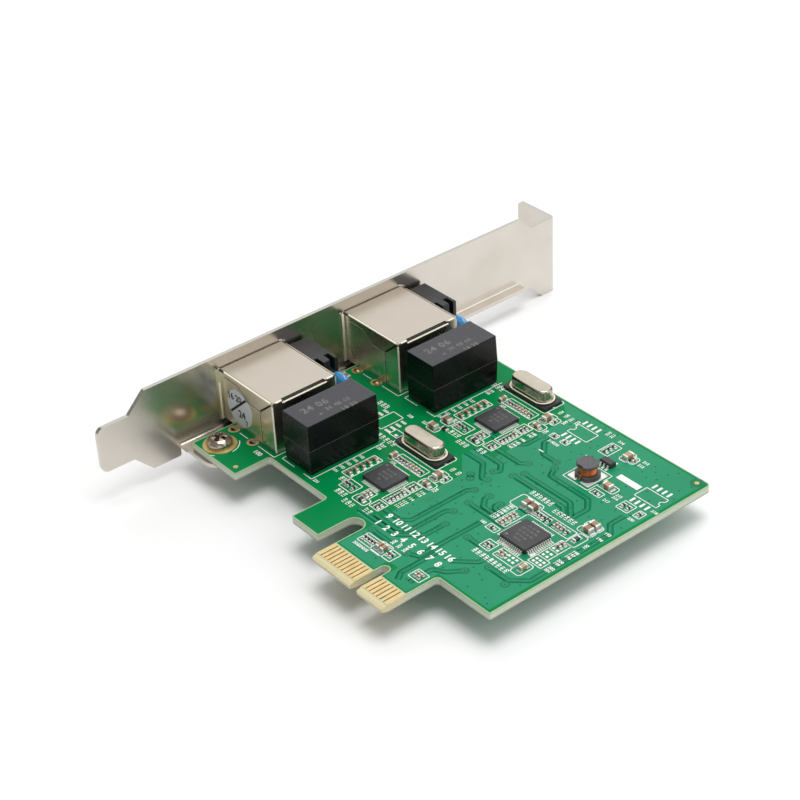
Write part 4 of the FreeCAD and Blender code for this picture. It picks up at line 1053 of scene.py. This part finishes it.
def makeInductor():
    # two layers of enamelled wire whose ends run down to the pads
    low, high = boxOf("inductor_winding")
    x, y = middleOf("inductor_winding")
    wire, steps = coil["wire"], coil["steps"]
    radius = (high.x - low.x) / 2 - wire - coil["clear"]
    bottom, top = low.z + wire, high.z - wire
    helix = []
    for i in range(int(coil["turns"] * steps) + 1):
        a = 2 * math.pi * i / steps - 1.57
        helix.append((x + radius * math.cos(a), y + radius * math.sin(a),
                      bottom + (top - bottom) * i / (coil["turns"] * steps)))
    inner = [(x + (px - x) * coil["inner"], y + (py - y) * coil["inner"], min(top, pz + 0.15))
             for px, py, pz in helix]
    leads = [[helix[0], (x, y - radius - 0.25, bottom - 0.15), (x, y - coil["reach"], 0.12)],
             [helix[-1], (x, y + radius + 0.25, top - 0.3), (x + 0.1, y + coil["reach"], 0.12)]]
    drawWires("inductor_coil", [helix, inner] + leads, wire, "enamelCopper", 10, ("inductor_winding",))
    bevelledCopy("inductor_core", 0.07, "ferrite")


solderCone = [(0, -0.95), (0.2, -0.93), (0.24, -0.7), (0.3, -0.5), (0.45, -0.28), (0.72, -0.08), (0.8, 0.0),
              (0, 0.0)]


def makeJoints():
    # solder cones where the pins come through
    shape = template("jointShape", turnedMesh(solderCone, 14), True)
    spots = [(middle.x, middle.y, underZ - 0.01) for middle, size in islandSpots("solder_pins")]
    placeCopies("solder_joints", shape, spots, "solder", 0.06, ("solder_pins",))


makeScrew()
makeDiscs()
makeCrystals()
makeLenses()
makeInductor()
makeJoints()
for port in ports:
    bevelledCopy("transformer_%d_cover" % port, 0.16, "moulding")
    bevelledCopy("transformer_%d_base" % port, 0.12, "moulding")
    bevelledCopy("light_%d_holder" % port, 0.1, "holderPlastic")
    bevelledCopy("phy_%d_chip" % port, 0.08, "chipBlack")
bevelledCopy("switch_chip", 0.06, "chipBlack")
bevelledCopy("regulator_body", 0.05, "chipBlack")
print("fine pieces done")


# shields: painted shadow along cut lines, painted highlights along folds and on the contact strips; wall lines are
# (x, z) on the wall that faces -Y
seams = {"flap": [(-58.1, 10.5), (-53.4, 10.4), (-50.9, 8.0), (-46.7, 7.95), (-42.6, 11.35)],
         "drop": [(-46.65, 7.9), (-46.65, 0.25)], "slit": [(-60.0, 11.45), (-58.3, 11.4)],
         "open": [(-46.2, 8.3), (-42.75, 11.2)], "join": -59.86, "width": 0.16, "gapWidth": 0.4, "proud": 0.02}
folds = {"sheet": 0.45, "front": -58.3, "back": -42.8, "edge": 0.14, "radius": 0.19}
strips = {"x": -59.68, "out": 0.78, "size": (0.16, 0.8, 11.3)}
legs = {"x": (-55.1, -48.8), "out": 1.4, "ring": (1.25, 0.72), "hole": 0.75}
fiducial = (19.95, 67.05, 0.03)


def drawUpright(name, lines, y, width, finishName, thickness):
    # strokes on a wall that faces -Y
    drawStrokes(name, lines, 0.0, width, finishName, 0.05, thickness,
                at(0, y, 0) @ Matrix.Rotation(quarter, 4, "X"))


def shieldRimHighlights(y, far, roof, rear):
    # painted highlight wires along the outer folds of one shield, between its walls at y and far
    edge, front, back = folds["edge"], folds["front"], folds["back"]
    near, top = y + edge, roof - edge
    return [[(front, near, top), (back, near, top)],
            [(rear - edge, near, roof - 0.7), (rear - edge, near, 0.2)],
            [(rear - edge, y + 0.9, top), (rear - edge, y + 2.4, top)],
            [(rear - edge, far - 2.2, top), (rear - edge, far - 0.7, top)],
            [(rear - 0.04, y + 2.5, roof - 0.66), (rear - 0.04, far - 2.3, roof - 0.66)],
            [(rear - edge, far - edge, roof - 0.7), (rear - edge, far - edge, 0.2)]]


def makeShieldTrim():
    rims, spots, proud = [], [], seams["proud"]
    for port in ports:
        high = boxOf("port_%d_shield" % port)[1]
        wallLow, wallHigh = boxOf("port_%d_housing" % port)
        y, far = wallLow.y - folds["sheet"], wallHigh.y + folds["sheet"]
        face = y - proud / 2
        drawUpright("port_%d_seams" % port, [seams["flap"], seams["drop"]], face, seams["width"], "seamShadow",
                    proud)
        drawUpright("port_%d_gaps" % port, [seams["slit"], seams["open"]], face, seams["gapWidth"], "seamShadow",
                    proud + 0.01)
        join = [(seams["join"], y + 0.2), (seams["join"], far - 0.2)]
        drawStrokes("port_%d_join" % port, [join], high.z + 0.01, 0.14, "seamShadow", 0, 0.02)
        # painted highlights along the lips of the flap cuts
        lips = [[(x, z - 0.15) for x, z in seams["flap"][:-1]],
                [(x - 0.15, min(z, 7.75)) for x, z in seams["drop"]]]
        drawUpright("port_%d_lips" % port, lips, face, 0.09, "paintedHighlight", proud)
        rims += shieldRimHighlights(y, far, high.z, high.x)
        spots.append((strips["x"], wallLow.y - strips["out"], 0.05, (1, 0.45 * port, 0.5 + 0.25 * port), 0.25))
    drawWires("shield_rims", rims, folds["radius"], "paintedHighlight", 8)
    # contact strips drawn in the painted highlight finish
    placeCopies("contact_strips", softBox("stripShape", strips["size"], 0.05, 1), spots, "paintedHighlight")


def makeRingPads():
    spots = [(x, boxOf("port_%d_housing" % port)[0].y - legs["out"], 0.03) for port in ports for x in legs["x"]]
    placeCopies("leg_ring_pads", disc("legRing", *legs["ring"], 32), spots, "padGold")
    holes = [(x, y, z - 0.004, (legs["hole"], legs["hole"], 1)) for x, y, z in spots]
    placeCopies("leg_holes", roundShape, holes, "seamShadow")
    dome = turnedMesh([(0, 0), (0.62, 0), (0.6, 0.14), (0.45, 0.36), (0.22, 0.5), (0, 0.54)], 20)
    placeCopies("leg_solder", template("legSolder", dome, True),
                [(x + 0.55, y - 0.25, z, 1.0, 0.4) for x, y, z in spots[2:]], "padGold")
    placeCopies("screw_ring_pad", disc("screwRing", 3.45, 1.62, 64), [(*middleOf("bracket_screw"), 0.03)],
                "padGold")
    placeCopies("round_pads", disc("padDisc", 0.5, 0, 24), [(-44.3, 6.15, 0.03), (*fiducial, (0.95, 0.95, 1))],
                "padGold")
    placeCopies("fiducial_ring", disc("bareRing", 1.4, 0.55, 32), [fiducial], "maskOverGap")


makeShieldTrim()
makeRingPads()
print("shield trim done")


# printed marks on the parts, all of them plain numbers
marks = {"proud": 0.012, "chipProud": 0.01, "dotProud": 0.006, "pitch": 1.05, "size": 0.8, "spacing": 1.1}
# offsets from the cover's low corner
coverNumbers = [("24 06", 3.4, 5.6, 2.5), ("36 48 60", 5.7, 9.4, 1.5), ("18 30", 7.8, 10.6, 1.5)]
chipNumbers = {"phy": (1.5, ("10 24 36", "48 60 72", "12 18 24", "30")),
               "switch": (2.1, ("24 36 48", "60 72 84 96", "12 18 24 30", "42 54 66", "78 90"))}
stickerNumbers = [("16 20", -55.4, 6.9, 2.1), ("24", -53.3, 3.7, 2.3), ("7", -51.9, 2.2, 1.7)]


def chipRows(name, kind):
    (x, y), z = middleOf(name), boxOf(name)[1].z + marks["chipProud"]
    first, rows = chipNumbers[kind]
    return [flatNumber(text, x, y + first - marks["pitch"] * row, z, marks["size"])
            for row, text in enumerate(rows)]


def makePartNumbers():
    numbers = []
    for port in ports:
        low, high = boxOf("transformer_%d_cover" % port)
        z, spacing = high.z + marks["proud"], marks["spacing"]
        numbers += [flatNumber(text, low.x + x, low.y + y, z, size, quarter, spacing)
                    for text, x, y, size in coverNumbers]
        numbers += chipRows("phy_%d_chip" % port, "phy")
    numbers += chipRows("switch_chip", "switch")
    top = boxOf("inductor_core")[1].z + marks["chipProud"]
    numbers.append(flatNumber("22", *middleOf("inductor_core"), top, 1.5, quarter / 2))
    drawNumbers("part_numbers", numbers, "greyInk")


def makeStickerMarks():
    y = boxOf("inspection_sticker")[0].y
    turn = Matrix.Rotation(quarter, 4, "X") @ Matrix.Rotation(0.1, 4, "Z")
    numbers = [(text, at(x, y - marks["proud"], z) @ turn, size, 1.0) for text, x, z, size in stickerNumbers]
    drawNumbers("sticker_numbers", numbers, "blackInk")
    drawUpright("sticker_bar", [[(-57.15, 3.0), (-51.4, 8.1)]], y - 0.01, 0.5, "blackInk", 0.016)


def makeDotsAndSeams():
    dots, wells, loops = [], [], []
    for port in ports:
        low, high = boxOf("transformer_%d_cover" % port)
        z = high.z + 0.008
        dots.append((high.x - 2.1, low.y + 4.9, z, (0.32, 0.32, 1)))
        wells += [(high.x - 1.7, low.y + 1.6, z, (0.4, 0.4, 1)), (low.x + 2.0, high.y - 2.2, z, (0.4, 0.4, 1))]
        seam = rectangle(low.x + 0.02, low.y + 0.02, high.x - 0.02, high.y - 0.02)
        loops.append([(x, y, low.z) for x, y in seam])
        low, high = boxOf("phy_%d_chip" % port)
        dots.append((low.x + 0.8, high.y - 0.8, high.z + marks["dotProud"], (0.3, 0.3, 1)))
    low, high = boxOf("switch_chip")
    dots.append((low.x + 1.0, low.y + 1.0, high.z + marks["dotProud"], (0.35, 0.35, 1)))
    placeCopies("pin_one_dots", roundShape, dots, "greyInk")
    placeCopies("moulding_wells", roundShape, wells, "wellShadow")
    drawWires("moulding_seams", loops, 0.05, "seamPale", 6)


makePartNumbers()
makeStickerMarks()
makeDotsAndSeams()
print("marks done")


# stage, light and camera
stage = {"size": 3000, "gap": 0.05, "colour": (0.86, 0.86, 0.86, 1), "colourTwo": (0.84, 0.84, 0.84, 1),
         "world": 0.34, "middle": (-0.02, 0.03, 0.0)}
lamps = {
    "ceiling": {"place": (0.02, 0.10, 0.80), "size": 0.5, "power": 4.6},
    "softbox": {"place": (-0.52, 0.42, 0.44), "size": 0.8, "power": 2.2},
    "fill": {"place": (0.55, -0.45, 0.25), "size": 0.5, "power": 0.5},
    "back": {"place": (0.57, 0.49, 0.50), "size": 0.9, "power": 2.8},
}
eye = {"place": (224.76, -161.32, 222.58), "right": (0.63663, 0.76990, -0.04420),
       "down": (0.40330, -0.38125, -0.83186), "lens": 89.51, "shift": (-0.0043, 0.0011)}


def makeStage():
    size, z = stage["size"], cadLow.z / mm - stage["gap"]
    corners = [(x, y, z) for x, y in rectangle(-size, -size, size, size)[:4]]
    floor = meshObject("floor", corners, [], [(0, 1, 2, 3)])
    floor.data.materials.append(makeFinish("floorPaint", {
        "colour": stage["colour"], "colourTwo": stage["colourTwo"], "patchScale": 3, "roughness": (0.6, 0.7)}))


def makeLights():
    for name, lamp in lamps.items():
        data = bpy.data.lights.new(name, "AREA")
        data.shape = "SQUARE"
        data.size = lamp["size"]
        data.energy = lamp["power"]
        light = linkObject(name, data)
        light.location = lamp["place"]
        aim = Vector(stage["middle"]) - Vector(lamp["place"])
        light.rotation_euler = aim.to_track_quat("-Z", "Y").to_euler()
    world = bpy.data.worlds.new("studio")
    bpy.context.scene.world = world
    world.use_nodes = True
    back = world.node_tree.nodes["Background"]
    back.inputs["Color"].default_value = (1, 1, 1, 1)
    back.inputs["Strength"].default_value = stage["world"]


def makeCamera():
    data = bpy.data.cameras.new("camera")
    data.lens = eye["lens"]
    data.sensor_width = 36
    data.shift_x, data.shift_y = eye["shift"]
    data.clip_start = 0.01
    data.clip_end = 20
    camera = linkObject("camera", data)
    right, up = Vector(eye["right"]).normalized(), -Vector(eye["down"]).normalized()
    turn = Matrix((right, up, right.cross(up))).transposed()
    camera.matrix_world = at(*eye["place"]) @ turn.to_4x4()
    bpy.context.scene.camera = camera


makeStage()
makeLights()
makeCamera()
bpy.context.scene.view_settings.view_transform = "Standard"
print("stage, lights and camera ready")

for piece in templates:
    bpy.data.objects.remove(piece, do_unlink=True)
